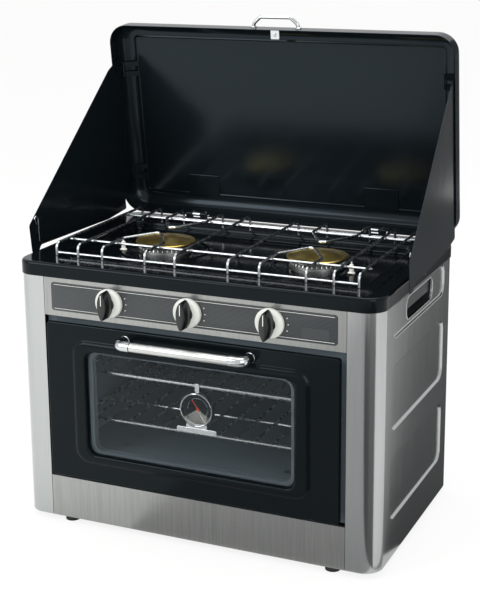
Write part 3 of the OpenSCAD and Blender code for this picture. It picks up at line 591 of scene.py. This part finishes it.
def makeBody():
    panel = makeSidePanel()
    other = mirroredCopy("sidePanelLeft", panel)
    dress(panel, "sideStainless", "body", ["side_panel_right"], level=True)
    dress(other, "sideStainless", "body", ["side_panel_left"], level=True)
    wide, high = bodyBox["lowWidth"], bodyBox["lowHeight"]
    low = closedBlock("lowerFrontPanel", "front", (0, 0, bodyBox["foot"] + high / 2), wide, high, 0.01, 0.8)
    bend = closedBlock("bend", "up", (0, 4, bodyBox["foot"] + high), wide, 7, 0.01, 0.8)
    low = joined("lowerFrontPanel", [low, bend])
    softenEdges(low, 0.3)
    dress(low, "stainless", "body", ["lower_front_panel"], level=True)
    for look, names in plainNodes.items():
        for name in names:
            materials = nodes[name].data.materials
            materials.clear()
            materials.append(looks[look])


makeBody()
print("body made")

# Control label, printed lines and knobs

knobs = {"pitch": 114.0, "z": 326.0, "skirtThick": 7.0, "grip": 17.0, "gripHalf": (8.2, 19.2),
         "faceY": -1.3}
label = {"z": 326.0, "width": 406.0, "height": 39.0, "printY": -0.72, "printThick": 0.1, "dotRing": 24.0}


def printed(name, x, z, width, height, radius, segments=6):
    # a flat printed form on the label plate
    return closedBlock(name, "front", (x, label["printY"], z), width, height, radius, label["printThick"],
                       segments)


def makeLabelPlate():
    plate = closedBlock("controlLabel", "front", (0, -0.7, label["z"]), label["width"], label["height"],
                        4, 0.65)
    softenEdges(plate, 0.2)
    holes = [turned("hole", place(knobs["pitch"] * i, -3, knobs["z"]), (0, 1, 0),
                    [(0, 0), (6, 0), (6, 5), (0, 5)], 32) for i in (-1, 0, 1)]
    cutWith(plate, holes)
    dress(plate, "label", "body", ["control_label"])
    lines = []
    for z in (label["z"] + label["height"] / 2 - 3, label["z"] - label["height"] / 2 + 3):
        lines.append(printed("line", 0, z, label["width"] - 8, 0.5, 0))
    dress(joined("labelLines", lines), "labelLine", "body")
    blocks = [printed("block", -63, 321, 40, 13, 1), printed("block", 174, 319, 36, 13, 1)]
    dress(joined("labelBlocks", blocks), "labelBlock", "body")
    marks = []
    for i in (-1, 0, 1):
        for a in range(-60, 61, 20):
            x = knobs["pitch"] * i + label["dotRing"] * math.sin(math.radians(a + 90))
            z = knobs["z"] + label["dotRing"] * math.sin(math.radians(a))
            if abs(z - label["z"]) < 15:
                marks.append(printed("mark", x, z, 1.4, 1.4, 0.6, 4))
    dress(joined("labelMarks", marks), "labelLine", "body")


def makeKnob(key, x):
    face = knobs["faceY"]
    body = "knob_%s_body" % key
    skirt = turned("knobSkirt" + key, place(x, face, knobs["z"]), (0, -1, 0),
                   [(10.1, 0), (19.4, 0), (19.5, 0.4), (19.5, 3.2), (19.0, 4.4), (16.5, 6.2), (14.0, 6.8),
                    (10.1, 6.9)], 72)
    dress(skirt, "knobGrey", body, ["knob_%s_skirt" % key])
    # the grip: a pointed oval that narrows towards the front
    deselectAll()
    bpy.ops.mesh.primitive_circle_add(vertices=64, radius=1, fill_type="NGON")
    grip = named("knobGrip" + key)
    halfX, halfZ = knobs["gripHalf"]
    grip.scale = (halfX * mm, halfZ * mm, 1)
    applyPlace(grip)
    for v in grip.data.vertices:
        lean = abs(v.co.y) / (halfZ * mm)
        v.co.x *= 1 - 0.35 * lean ** 3
    grip.rotation_euler = facings["front"][0]
    grip.location = place(x, face - knobs["skirtThick"] + 0.2, knobs["z"])
    applyPlace(grip)
    bpy.ops.object.mode_set(mode="EDIT")
    bpy.ops.mesh.select_mode(type="FACE")
    bpy.ops.mesh.select_all(action="SELECT")
    bpy.ops.mesh.extrude_region_move(TRANSFORM_OT_translate={"value": (0, 0, 0)})
    tall = knobs["grip"] - 0.6
    for part, size in ((0.25, 0.97), (0.6, 0.90), (0.12, 0.84), (0.03, 0.72)):
        bpy.ops.mesh.extrude_region_move(TRANSFORM_OT_translate={"value": (0, -tall * part * mm, 0)})
        bpy.ops.transform.resize(value=(size, 1, 0.985), center_override=place(x, 0, knobs["z"]))
    bpy.ops.mesh.select_all(action="SELECT")
    bpy.ops.mesh.normals_make_consistent(inside=False)
    bpy.ops.object.mode_set(mode="OBJECT")
    hub = turned("hub", place(x, face, knobs["z"]), (0, -1, 0),
                 [(0, 0.4), (9.8, 0.4), (9.8, 8.0), (9.0, 8.6), (0, 8.6)], 48)
    grip = joined("knobGrip" + key, [grip, hub])
    dress(grip, "knobBlack", body, ["knob_%s" % key], 40)
    tip = (x, face - knobs["skirtThick"] - knobs["grip"] + 0.35, knobs["z"] + 9)
    pointer = closedBlock("knobLine" + key, "front", tip, 0.9, 14, 0.3, 0.4, 3)
    dress(pointer, "labelLine", body)


makeLabelPlate()
for key, i in (("left", -1), ("middle", 0), ("right", 1)):
    makeKnob(key, knobs["pitch"] * i)
print("controls made")

# Oven door

door = {"z": 73.0, "width": 418.0, "height": 219.0, "face": -7.1, "glassZ": 184.5, "glassWidth": 297.0,
        "glassHeight": 145.0, "ridgeWidth": 339.0, "ridgeHeight": 173.0, "pinPlateX": 184.5,
        "knuckleX": 194.5}
handle = {"y": -29.1, "z": 279.0, "legX": 89}


def makeDoor():
    middleZ = door["z"] + door["height"] / 2
    back = pressed("doorSheet", "front", (0, -0.8, middleZ), door["width"], door["height"], 4,
                   [(0, 4.6), (0.25, 1.0), (0.75, 0.55), (1.2, 0.15)], 6)
    thicken(back, 0.7)
    window = closedBlock("window", "front", (0, -20, door["glassZ"]), door["glassWidth"],
                         door["glassHeight"], 14, 40, 10)
    # the lower lip is open where it swings round the plates of the hinge pins
    lipCuts = [closedBlock("lipCut", "up", (side * door["pinPlateX"], -3.0, 76.0), 6, 6.4, 0, 5)
               for side in (-1, 1)]
    cutWith(back, [window] + lipCuts)
    ring = pressed("doorRidge", "front", (0, door["face"] + 0.15, door["glassZ"]),
                   door["ridgeWidth"] + 4, door["ridgeHeight"] + 4, 23,
                   [(1.2, 0.15), (1.2, 0.9), (1.2, 1.4), (1.6, 1.0), (2.0, 0.45), (2.5, 0.1),
                    (306, 154, 0.0), (302, 150, -0.25), (299.5, 147.5, -0.8), (298, 146, -1.5),
                    (297, 145, -5.6)],
                   12, openEnd=True)
    thicken(ring, 0.5)
    sheet = joined("doorSheet", [back, ring])
    knuckles = []
    for side in (-1, 1):
        x = side * door["knuckleX"]
        knuckles.append(turned("knuckle", place(x - 7.5, 1, 79), (1, 0, 0),
                               [(3.06, 0), (4.7, 0), (5, 0.3), (5, 14.7), (4.7, 15), (3.06, 15),
                                (3.06, 0)], 40))
        knuckles.append(closedBlock("web", "up", (x, -4.4, 82.8), 15, 4.6, 0, 7.6))
    sheet = joined("doorSheet", [sheet] + knuckles)
    dress(sheet, "doorEnamel", "door", ["door_panel"], 35, True)
    pane = closedBlock("doorGlass", "front", (0, -6.05, door["glassZ"]), 305, 151, 10, 3.9, 8)
    softenEdges(pane, 0.5)
    dress(pane, "glass", "door", ["door_glass"])


def makeDoorHandle():
    y, z = handle["y"], handle["z"]
    bar = turned("doorHandleBar", place(-70, y, z), (1, 0, 0),
                 [(0, 0), (5.8, 0), (6.2, 0.4), (6.2, 139.6), (5.8, 140), (0, 140)], 48)
    dress(bar, "satinSteel", "door", ["door_handle_bar"])
    parts = []
    for side in (-1, 1):
        x = side * handle["legX"]
        parts.append(wire("leg", [(side * 71.5, y, z), (x, y, z), (x, door["face"] - 0.6, z)], 6.9, 13,
                          sides=8))
        parts.append(turned("collar", place(side * 70.4, y, z), (side, 0, 0),
                            [(0, 0), (7.0, 0), (7.0, 5.4), (6.6, 5.8), (0, 5.8)], 48))
        parts.append(turned("disc", place(x, door["face"] - 0.1, z), (0, -1, 0),
                            [(0, 0), (7.6, 0), (7.6, 1.6), (7.2, 2.4), (6.9, 2.8), (0, 2.8)], 48))
    legs = joined("doorHandleLegs", parts)
    dress(legs, "chrome", "door", ["door_handle_brackets"], 40)


makeDoor()
makeDoorHandle()
print("door made")

# Racks and thermometer

oven = {"sideX": 180.0, "frontY": 25.0, "backY": 274.0, "rodPitch": 26.5, "high": 219.0, "low": 152.0}


def makeRack(name, z, node):
    x, y0, y1 = oven["sideX"], oven["frontY"], oven["backY"]
    parts = [wire("rim", [(-x, y0, z), (x, y0, z), (x, y1, z), (-x, y1, z)], 2.5, 7, closed=True)]
    for i in range(-6, 7):
        rodX = i * oven["rodPitch"]
        parts.append(wire("long", [(rodX, y0 - 1, z + 0.4), (rodX, y1 + 1, z + 0.4)], 1.4, sides=2))
    for y in (100, 190):
        parts.append(wire("cross", [(1 - x, y, z - 1.6), (x - 1, y, z - 1.6)], 1.8, sides=2))
    dress(joined(name, parts), "wireChrome", "body", [node])


gauge = {"y": 17.0, "z": 187.0, "bandRadius": 14.5, "tickRadius": 20.4}


def turnOnDial(obj, y, degrees):
    # a piece drawn upright at the front's origin goes to the dial's centre, turned round it
    turn = Matrix.Rotation(math.radians(degrees), 4, "Y")
    centre = Matrix.Translation(place(0, y, gauge["z"]))
    obj.data.transform(centre @ turn @ Matrix.Translation(-place(0, 0, 0)))


def makeGauge():
    y, z = gauge["y"], gauge["z"]
    case = turned("gaugeCase", place(0, y + 10, z), (0, -1, 0),
                  [(0, 0.2), (22.6, 0.2), (23.8, 1.4), (23.9, 8.2), (23.2, 9.6), (22.2, 10), (21.5, 9.6),
                   (21.4, 3.9), (0, 3.9)], 72)
    stand = pressed("stand", "front", (0, y + 2.2, z - 29), 58, 7, 1.5, [(0, 1.0), (0.3, 0.2)], 4,
                    openStart=False)
    neck = closedBlock("neck", "front", (0, y + 1.2, z - 24), 30, 9, 1, 1.0)
    hook = closedBlock("hook", "front", (0, y + 4.2, z + 29.2), 6, 13, 0.5, 0.9)
    over = closedBlock("over", "up", (0, y + 9, z + 35.8), 6, 10, 0.5, 0.9)
    case = joined("gaugeCase", [case, stand, neck, hook, over])
    dress(case, "chrome", "body", ["gauge_case"])
    dial = turned("gaugeDial", place(0, y + 6.9, z), (0, -1, 0),
                  [(0, 0), (21.3, 0), (21.3, 0.8), (0, 0.8)], 72)
    dress(dial, "dial", "body", ["gauge_dial"])
    ticks = []
    for i in range(25):
        long = 3.4 if i % 4 == 0 else 2.0
        tick = closedBlock("tick", "front", (0, 0, gauge["tickRadius"] - long / 2), 0.5, long, 0, 0.15)
        turnOnDial(tick, y + 6.0, -130 + i * 260 / 24)
        ticks.append(tick)
    dress(joined("gaugeTicks", ticks), "dialInk", "body")
    bands = []
    for low, high in ((-100, -45), (-35, 20), (30, 75), (85, 120)):
        angles = [math.radians(a) for a in range(low, high + 1, 5)]
        bands.append(wire("band", [(gauge["bandRadius"] * math.sin(a), y + 6.0,
                                    z + gauge["bandRadius"] * math.cos(a)) for a in angles],
                          0.35, 2, sides=1))
    dress(joined("gaugeBands", bands), "dialBand", "body")
    needle = closedBlock("gaugeNeedle", "front", (0, 0, 5), 0.9, 20, 0.3, 0.4, 3)
    turnOnDial(needle, y + 5.6, -35)
    hub = turned("hub", place(0, y + 5.9, z), (0, -1, 0), [(0, 0), (2, 0), (2, 0.8), (1.5, 1.2), (0, 1.2)],
                 32)
    dress(joined("gaugeNeedle", [needle, hub]), "red", "body", ["gauge_needle"])


makeRack("ovenRackUpper", oven["high"], "oven_rack_upper")
makeRack("ovenRackLower", oven["low"], "oven_rack_lower")
makeGauge()
print("oven made")

# Hob tray

tray = {"width": 518.0, "depth": 328.0, "middleY": 162.5, "low": 352.0, "floor": 359.2}
burners = {"x": 114.0, "y": 162.0, "ports": 36}
igniter = {"x": 170, "y": 141}


def makeTray():
    well = [(6, 0.0), (438, 216, 0.0), (1.2, -0.5), (1.6, -2.2), (1.6, -3.8), (1.6, -3.0), (1.6, -1.8),
            (2.0, -0.6)]
    rim = pressed("hobTray", "up", (0, tray["middleY"], tray["low"]), tray["width"] - 0.1,
                  tray["depth"] - 0.1, 26.5, [(0, 14.6)] + quarterRound(4.3, 5) + well, 10)
    holes = [turned("hole", place(side * burners["x"], burners["y"], 340), (0, 0, 1),
                    [(0, 0), (14, 0), (14, 30), (0, 30)], 48) for side in (-1, 1)]
    thicken(rim, 0.7)
    cutWith(rim, holes)
    # a low round collar pressed up round each burner
    rings = [turned("collar", place(side * burners["x"], burners["y"], tray["floor"] - 0.05), (0, 0, 1),
                    [(66, -0.1), (64.5, 0.5), (63, 1.4), (61.5, 1.7), (59, 1.2), (57, 0.3), (56, -0.1)], 96)
             for side in (-1, 1)]
    dress(joined("hobTray", [rim] + rings), "rimEnamel", "body", ["hob_tray"], 35, True)


def makeBurners():
    up = Vector((0, 0, 1))
    caps = [turned("cap", place(side * burners["x"], burners["y"], 0) + up * (topZ + 0.5) * mm, up,
                   [(0, 0.2), (38.5, 0.2), (40.5, 0.3), (41.6, 0.8), (42, 1.5), (41.7, 2.2), (40.6, 2.9),
                    (38.5, 3.4), (36.5, 3.5), (35.2, 3.3), (33.5, 3.7), (28, 4.9), (20, 6.1), (10, 6.8),
                    (0, 7.0)], 96) for side in (-1, 1)]
    dress(joined("burnerCaps", caps), "brass", "body", ["burner_caps"], 50)
    rings = []
    for side in (-1, 1):
        x, y = side * burners["x"], burners["y"]
        rings.append(turned("ring", place(x, y, topZ - 3), up,
                            [(27, 0), (37.2, 0), (38, 0.8), (38, 2.6), (36.8, 3.4), (27, 3.4), (27, 0)], 96))
        for i in range(burners["ports"]):
            a = i * math.pi / (burners["ports"] / 2)
            rings.append(wire("port", [(x + r * math.cos(a), y + r * math.sin(a), topZ - down)
                                       for r, down in ((35.5, 3.2), (37.2, 6.5))], 0.7, sides=1))
    dress(joined("burnerRings", rings), "ringCast", "body", ["burner_rings"])
    posts = [turned("post", place(side * igniter["x"], igniter["y"], tray["floor"]), up,
                    [(0, 0), (5, 0), (5, 1.6), (3.4, 2.4), (3.0, 3.2), (3.0, 11.5), (2.2, 12.8),
                     (1.0, 13.2), (1.0, 16.6), (0, 17)], 32) for side in (-1, 1)]
    dress(joined("igniters", posts), "ceramic", "body", ["igniters"])


makeTray()
makeBurners()
print("hob made")

# Pan support

support = {"z": 388.5, "wire": 1.9, "low": 371.5, "front": 39.0, "back": 285.0, "sideX": 216, "bendX": 32,
           "bendIn": 57}


def makePanSupport():
    z, low, y0, y1, r = (support[key] for key in ("z", "low", "front", "back", "wire"))
    wide, bendX, bendIn = support["sideX"], support["bendX"], support["bendIn"]
    straight = []
    for x in (-wide, -183, -38, 38, 183, wide):
        straight.append(wire("straight", [(x, y0, low), (x, y0, z), (x, y1, z), (x, y1, low)], r, 7))
    for y in (y0, y1):
        straight.append(wire("lowRod", [(-wide, y + 1.2, low + 4), (wide, y + 1.2, low + 4)], r - 0.3))
    for y in (y0 + 41, y1 - 44):
        straight.append(wire("crossRod", [(-wide - 3, y, z - 3.4), (wide + 3, y, z - 3.4)], r - 0.2))
    dress(joined("panSupport", straight), "wireChrome", "pan_support_body", ["pan_support"])
    bent = []
    for side in (-1, 1):
        for name, y, slantY, tipY, tipX in (("bentFront", y0, y0 + bendIn, 142, 3),
                                            ("bentRear", y1, y1 - bendIn, 178, 4)):
            half = [(-bendX, y, low), (-bendX, y, z), (-bendX, slantY, z), (-tipX, tipY, z)]
            path = half + [(-dx, py, pz) for dx, py, pz in reversed(half)]
            bent.append(wire(name, [(side * burners["x"] + dx, py, pz) for dx, py, pz in path], r, 7))
    dress(joined("panSupportBends", bent), "wireChrome", "pan_support_body",
          ["pan_support_bends"])


makePanSupport()
print("pan support made")

# Lid

lidShape = {"corner": 28.0, "edge": 20.0, "wall": 0.75, "hingeX": 141.5, "handleX": 34}


def makeLid():
    w, l = lidPlace["width"] - 0.1, lidPlace["length"] - 0.1
    hingeX, handleX = lidShape["hingeX"], lidShape["handleX"]
    middle = upright(0, 0.05, lidPlace["foot"] + lidPlace["length"] / 2)
    bead = [(2.2, 0), (0.8, -0.35), (0.9, -0.35), (0.9, 0.35), (0.8, 0.35)]
    shell = pressed("lidShell", "back", middle, w, l, lidShape["corner"],
                    [(0, 17.4)] + quarterRound(lidShape["edge"], 8) + bead, 12)
    notches = [closedBlock("notch", "up", upright(side * hingeX, 3.5, 6), 38, 9.2, 0, 20)
               for side in (-1, 1)]
    thicken(shell, lidShape["wall"])
    cutWith(shell, notches)
    leanBack(shell)
    dress(shell, "blackEnamel", "lid", ["lid_shell"], 35, True)
    plates = [pressed("plate", "front", upright(side * hingeX, 36.5, 35), 52, 33.6, 2,
                      [(0, 0.5), (0.4, 0.25)], 4, openStart=False) for side in (-1, 1)]
    plates = joined("lidHingePlates", plates)
    leanBack(plates)
    dress(plates, "blackEnamel", "lid", ["lid_hinge_plates"])
    u = lidPlace["depth"] - lidShape["edge"] - 4
    top = lidPlace["foot"] + lidPlace["length"]
    path = [upright(x, u, top + rise) for x, rise in ((-handleX, 0.3), (-33, 6), (-23, 15), (23, 15), (33, 6),
                                                      (handleX, 0.3))]
    bow = wire("lidHandle", path, 2.55, 7, sides=6)
    feet = [turned("foot", place(*upright(side * handleX, u, top + 0.05)), (0, 0, 1),
                   [(0, 0), (4.4, 0), (4.4, 1.2), (3.4, 1.9), (0, 1.9)], 32) for side in (-1, 1)]
    bow = joined("lidHandle", [bow] + feet)
    leanBack(bow)
    dress(bow, "chrome", "lid", ["lid_handle"])
    catch = pressed("lidCatch", "front", upright(0, 9.4, top - 8.6), 13, 13.5, 1, [(0, 1.1), (0.3, 0.25)], 4,
                    openStart=False)
    lip = closedBlock("lip", "down", upright(0, 12.4, top - 2.35), 13, 8.6, 0.5, 1.4)
    head = turned("head", place(*upright(0, 8.0, top - 8.8)), (0, -1, 0),
                  [(0, 0), (2.6, 0), (2.4, 0.8), (1.4, 1.15), (0, 1.15)], 32)
    catch = joined("lidCatch", [catch, lip, head])
    leanBack(catch)
    dress(catch, "chrome", "lid", ["lid_catch"])


shields = {"pinX": 256.99, "pinU": (22.0, 25.0), "flare": math.radians(3.0), "length": 274.5, "sheet": 0.8,
           "out": 1.6, "tabZ": 362.0, "frontZ": 402.5, "notchV": 27.0, "low": 0.6}


def shieldPoint(side, out, s, v):
    # out from the pin, s forward along the shield, v up along the pin
    c, k = math.cos(shields["flare"]), math.sin(shields["flare"])
    dx, du = out * c + s * k, out * k - s * c
    pinU = shields["pinU"][0 if side > 0 else 1]
    return upright(side * (shields["pinX"] + dx), pinU + du, v)


def lowEdge(s, z, side):
    # height along the pin of a point s forward of it that lies at height z when the lid stands open
    u = shields["pinU"][0 if side > 0 else 1] - s - lidPlace["rimU"]
    return (z - lidPlace["hingeZ"] - u * math.sin(lidLean)) / math.cos(lidLean)


def makeShield(side, key):
    # a flat sheet: a plane whose corners are set, then its corners rounded and its wall added
    def onEdge(s, z):
        return (s, lowEdge(s, z, side))

    length, low, notchV = shields["length"], shields["low"], shields["notchV"]
    notchS = shields["pinU"][0 if side > 0 else 1] + 0.8
    body, node = "shield_%s_body" % key.lower(), "shield_" + key.lower()
    outline = [(2.6, notchV), (2.6, 236.0), (39.5, 222.0), onEdge(length, shields["frontZ"]),
               onEdge(length, shields["tabZ"]), onEdge(length - 16, shields["tabZ"]),
               onEdge(length - 22, 369.6), (notchS + 50.8, low), (notchS, low), (notchS, notchV)]
    deselectAll()
    bpy.ops.mesh.primitive_circle_add(vertices=len(outline), radius=1, fill_type="NGON")
    obj = named("shield" + key)
    for vertex, (s, v) in zip(obj.data.vertices, outline):
        vertex.co = place(*shieldPoint(side, shields["out"] + shields["sheet"] / 2, s, v))
    makeActive(obj)
    bpy.ops.object.mode_set(mode="EDIT")
    bpy.ops.mesh.select_all(action="SELECT")
    bpy.ops.mesh.bevel(offset=3 * mm, segments=4, affect="VERTICES")
    bpy.ops.mesh.select_all(action="SELECT")
    bpy.ops.object.mode_set(mode="OBJECT")
    if (obj.data.polygons[0].normal.x > 0) == (side < 0):
        bpy.ops.object.mode_set(mode="EDIT")
        bpy.ops.mesh.flip_normals()
        bpy.ops.object.mode_set(mode="OBJECT")
    thicken(obj, shields["sheet"], 0)
    softenEdges(obj, 0.15, 1)
    leanBack(obj)
    dress(obj, "blackEnamel", body, [node], level=True)
    s0 = length - 14
    inner = shields["out"] - 1.3
    v0 = lowEdge(s0, 401, side)
    bends = ((0, 0), (3, 9), (-1, 13), (-5, 8), (-3, -14), (-3, -26))
    clip = wire("shieldClip" + key, [shieldPoint(side, inner, s0 + ds, v0 + dv) for ds, dv in bends], 0.8, 2)
    leanBack(clip)
    dress(clip, "chrome", body, [node + "_clip"])


makeLid()
makeShield(1, "Right")
makeShield(-1, "Left")
print("lid and shields made")

# Floor, light and camera

studio = {"world": 0.85, "key": 40.0, "fill": 18.0, "top": 26.0}


def makeStudio():
    scene = bpy.context.scene
    scene.view_settings.view_transform = "Standard"
    world = bpy.data.worlds.new("studioWorld")
    scene.world = world
    world.use_nodes = True
    background = world.node_tree.nodes["Background"]
    # the camera, mirrors and glass see pure white; the light on the oven is the world's own strength
    paths = addNode(world, "ShaderNodeLightPath")
    glossy = addNode(world, "ShaderNodeMath", {"operation": "MAXIMUM"},
                     links={0: paths.outputs["Is Camera Ray"], 1: paths.outputs["Is Glossy Ray"]})
    clear = addNode(world, "ShaderNodeMath", {"operation": "MAXIMUM"},
                    links={0: glossy.outputs[0], 1: paths.outputs["Is Transmission Ray"]})
    strength = addNode(world, "ShaderNodeMapRange", values={"To Min": studio["world"], "To Max": 1.0},
                       links={"Value": clear.outputs[0]})
    linkTo(world, strength.outputs["Result"], background, "Strength")
    background.inputs["Color"].default_value = (1, 1, 1, 1)
    deselectAll()
    bpy.ops.mesh.primitive_plane_add(size=40, location=(0, 0, 0))
    floor = named("studioFloor")
    material, shader = newMaterial("paleFloor", "#f4f4f2", 0.0, 0.7)
    noise = noiseIn(material, objectPattern(material, (0.001, 0.001, 0.001)), 3.0, 2.0)
    bumpFrom(material, shader, noise, 0.02, 0.001)
    # the camera sees the floor nearly white, with a little of the shadow left
    paths = addNode(material, "ShaderNodeLightPath")
    share = addNode(material, "ShaderNodeMath", {"operation": "MULTIPLY"}, {1: 0.85},
                    {0: paths.outputs["Is Camera Ray"]})
    glow = addNode(material, "ShaderNodeEmission", values={"Strength": 1.0, "Color": (1, 1, 1, 1)})
    output = material.node_tree.nodes["Material Output"]
    mix = addNode(material, "ShaderNodeMixShader",
                  links={0: share.outputs[0], 1: shader.outputs[0], 2: glow.outputs[0]})
    material.node_tree.links.new(mix.outputs[0], output.inputs["Surface"])
    floor.data.materials.append(material)
    floor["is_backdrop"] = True


def addSoftbox(name, where, aim, size, power):
    deselectAll()
    bpy.ops.object.light_add(type="AREA", location=where)
    lamp = bpy.context.active_object
    lamp.name = name
    lamp.data.shape = "RECTANGLE"
    lamp.data.size, lamp.data.size_y = size
    lamp.data.energy = power
    lamp.rotation_euler = (Vector(aim) - Vector(where)).to_track_quat("-Z", "Y").to_euler()
    return lamp


def addCard(name, look, corners):
    # a card beside the oven that only reflections see
    deselectAll()
    bpy.ops.mesh.primitive_circle_add(vertices=len(corners), radius=1, fill_type="NGON")
    card = named(name)
    for vertex, corner in zip(card.data.vertices, corners):
        vertex.co = corner
    card.data.materials.append(looks[look])
    card.visible_camera = False
    card.visible_shadow = False
    card.visible_diffuse = False
    card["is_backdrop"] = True


def makeCamera():
    eye = {"x": 751.0, "y": -1507.5, "z": 832.8, "azimuth": 24.202, "elevation": 13.747, "roll": -0.516,
           "focal": 1375.07, "pictureHeight": 599, "sensor": 36, "shift": -0.1}
    az, el = math.radians(eye["azimuth"]), math.radians(eye["elevation"])
    forward = Vector((-math.sin(az) * math.cos(el), math.cos(az) * math.cos(el), -math.sin(el)))
    right = forward.cross(Vector((0, 0, 1))).normalized()
    up = right.cross(forward)
    roll = math.radians(eye["roll"])
    right, up = (right * math.cos(roll) + up * math.sin(roll),
                 up * math.cos(roll) - right * math.sin(roll))
    data = bpy.data.cameras.new("photoCamera")
    camera = bpy.data.objects.new("photoCamera", data)
    bpy.context.collection.objects.link(camera)
    turn = Matrix((right, up, -forward)).transposed().to_4x4()
    camera.matrix_world = Matrix.Translation(place(eye["x"], eye["y"], eye["z"])) @ turn
    data.sensor_width = eye["sensor"]
    data.lens = eye["focal"] / eye["pictureHeight"] * eye["sensor"]
    data.shift_y = eye["shift"]
    bpy.context.scene.camera = camera


makeStudio()
addSoftbox("keyLight", (-1.6, -1.9, 1.7), (0, 0, 0.3), (1.6, 1.6), studio["key"])
addSoftbox("fillLight", (1.9, -1.6, 1.3), (0, 0, 0.25), (1.2, 1.6), studio["fill"])
addSoftbox("topLight", (0, 0.2, 2.3), (0, 0, 0.3), (1.8, 1.4), studio["top"])
for name, look, z, corners in (
        ("sideGreyCard", "greyCard", 0.002, ((0.274, -0.17), (1.05, 2.15), (0.8, 2.2), (0.274, 0.0))),
        ("sideDarkCard", "darkHole", 0.004, ((0.272, -0.09), (0.96, 2.2), (0.1, 2.2), (0.2, 0.17)))):
    addCard(name, look, [(x, y, z) for x, y in corners])
addCard("lidSideCard", "darkHole",
        [(0.345, y, z) for y, z in ((0.15, 0.36), (1.0, 0.36), (1.0, 0.8), (0.15, 0.8))])
for name, look, z, corners in (
        ("cornerDarkCard", "darkHole", 0.004, ((0.272, -0.158), (0.302, -1.28), (1.4, -1.28), (1.4, -0.62))),
        ("frontGreyCard", "greyCard", 0.002, ((-0.1, -0.17), (-0.2, -1.5), (0.8, -1.5), (0.29, -0.17)))):
    addCard(name, look, [(x, y, z) for x, y in corners])
makeCamera()
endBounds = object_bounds()
for when, box in (("before", startBounds), ("after", endBounds)):
    print("size", when, [[round(v, 4) for v in corner] for corner in box])
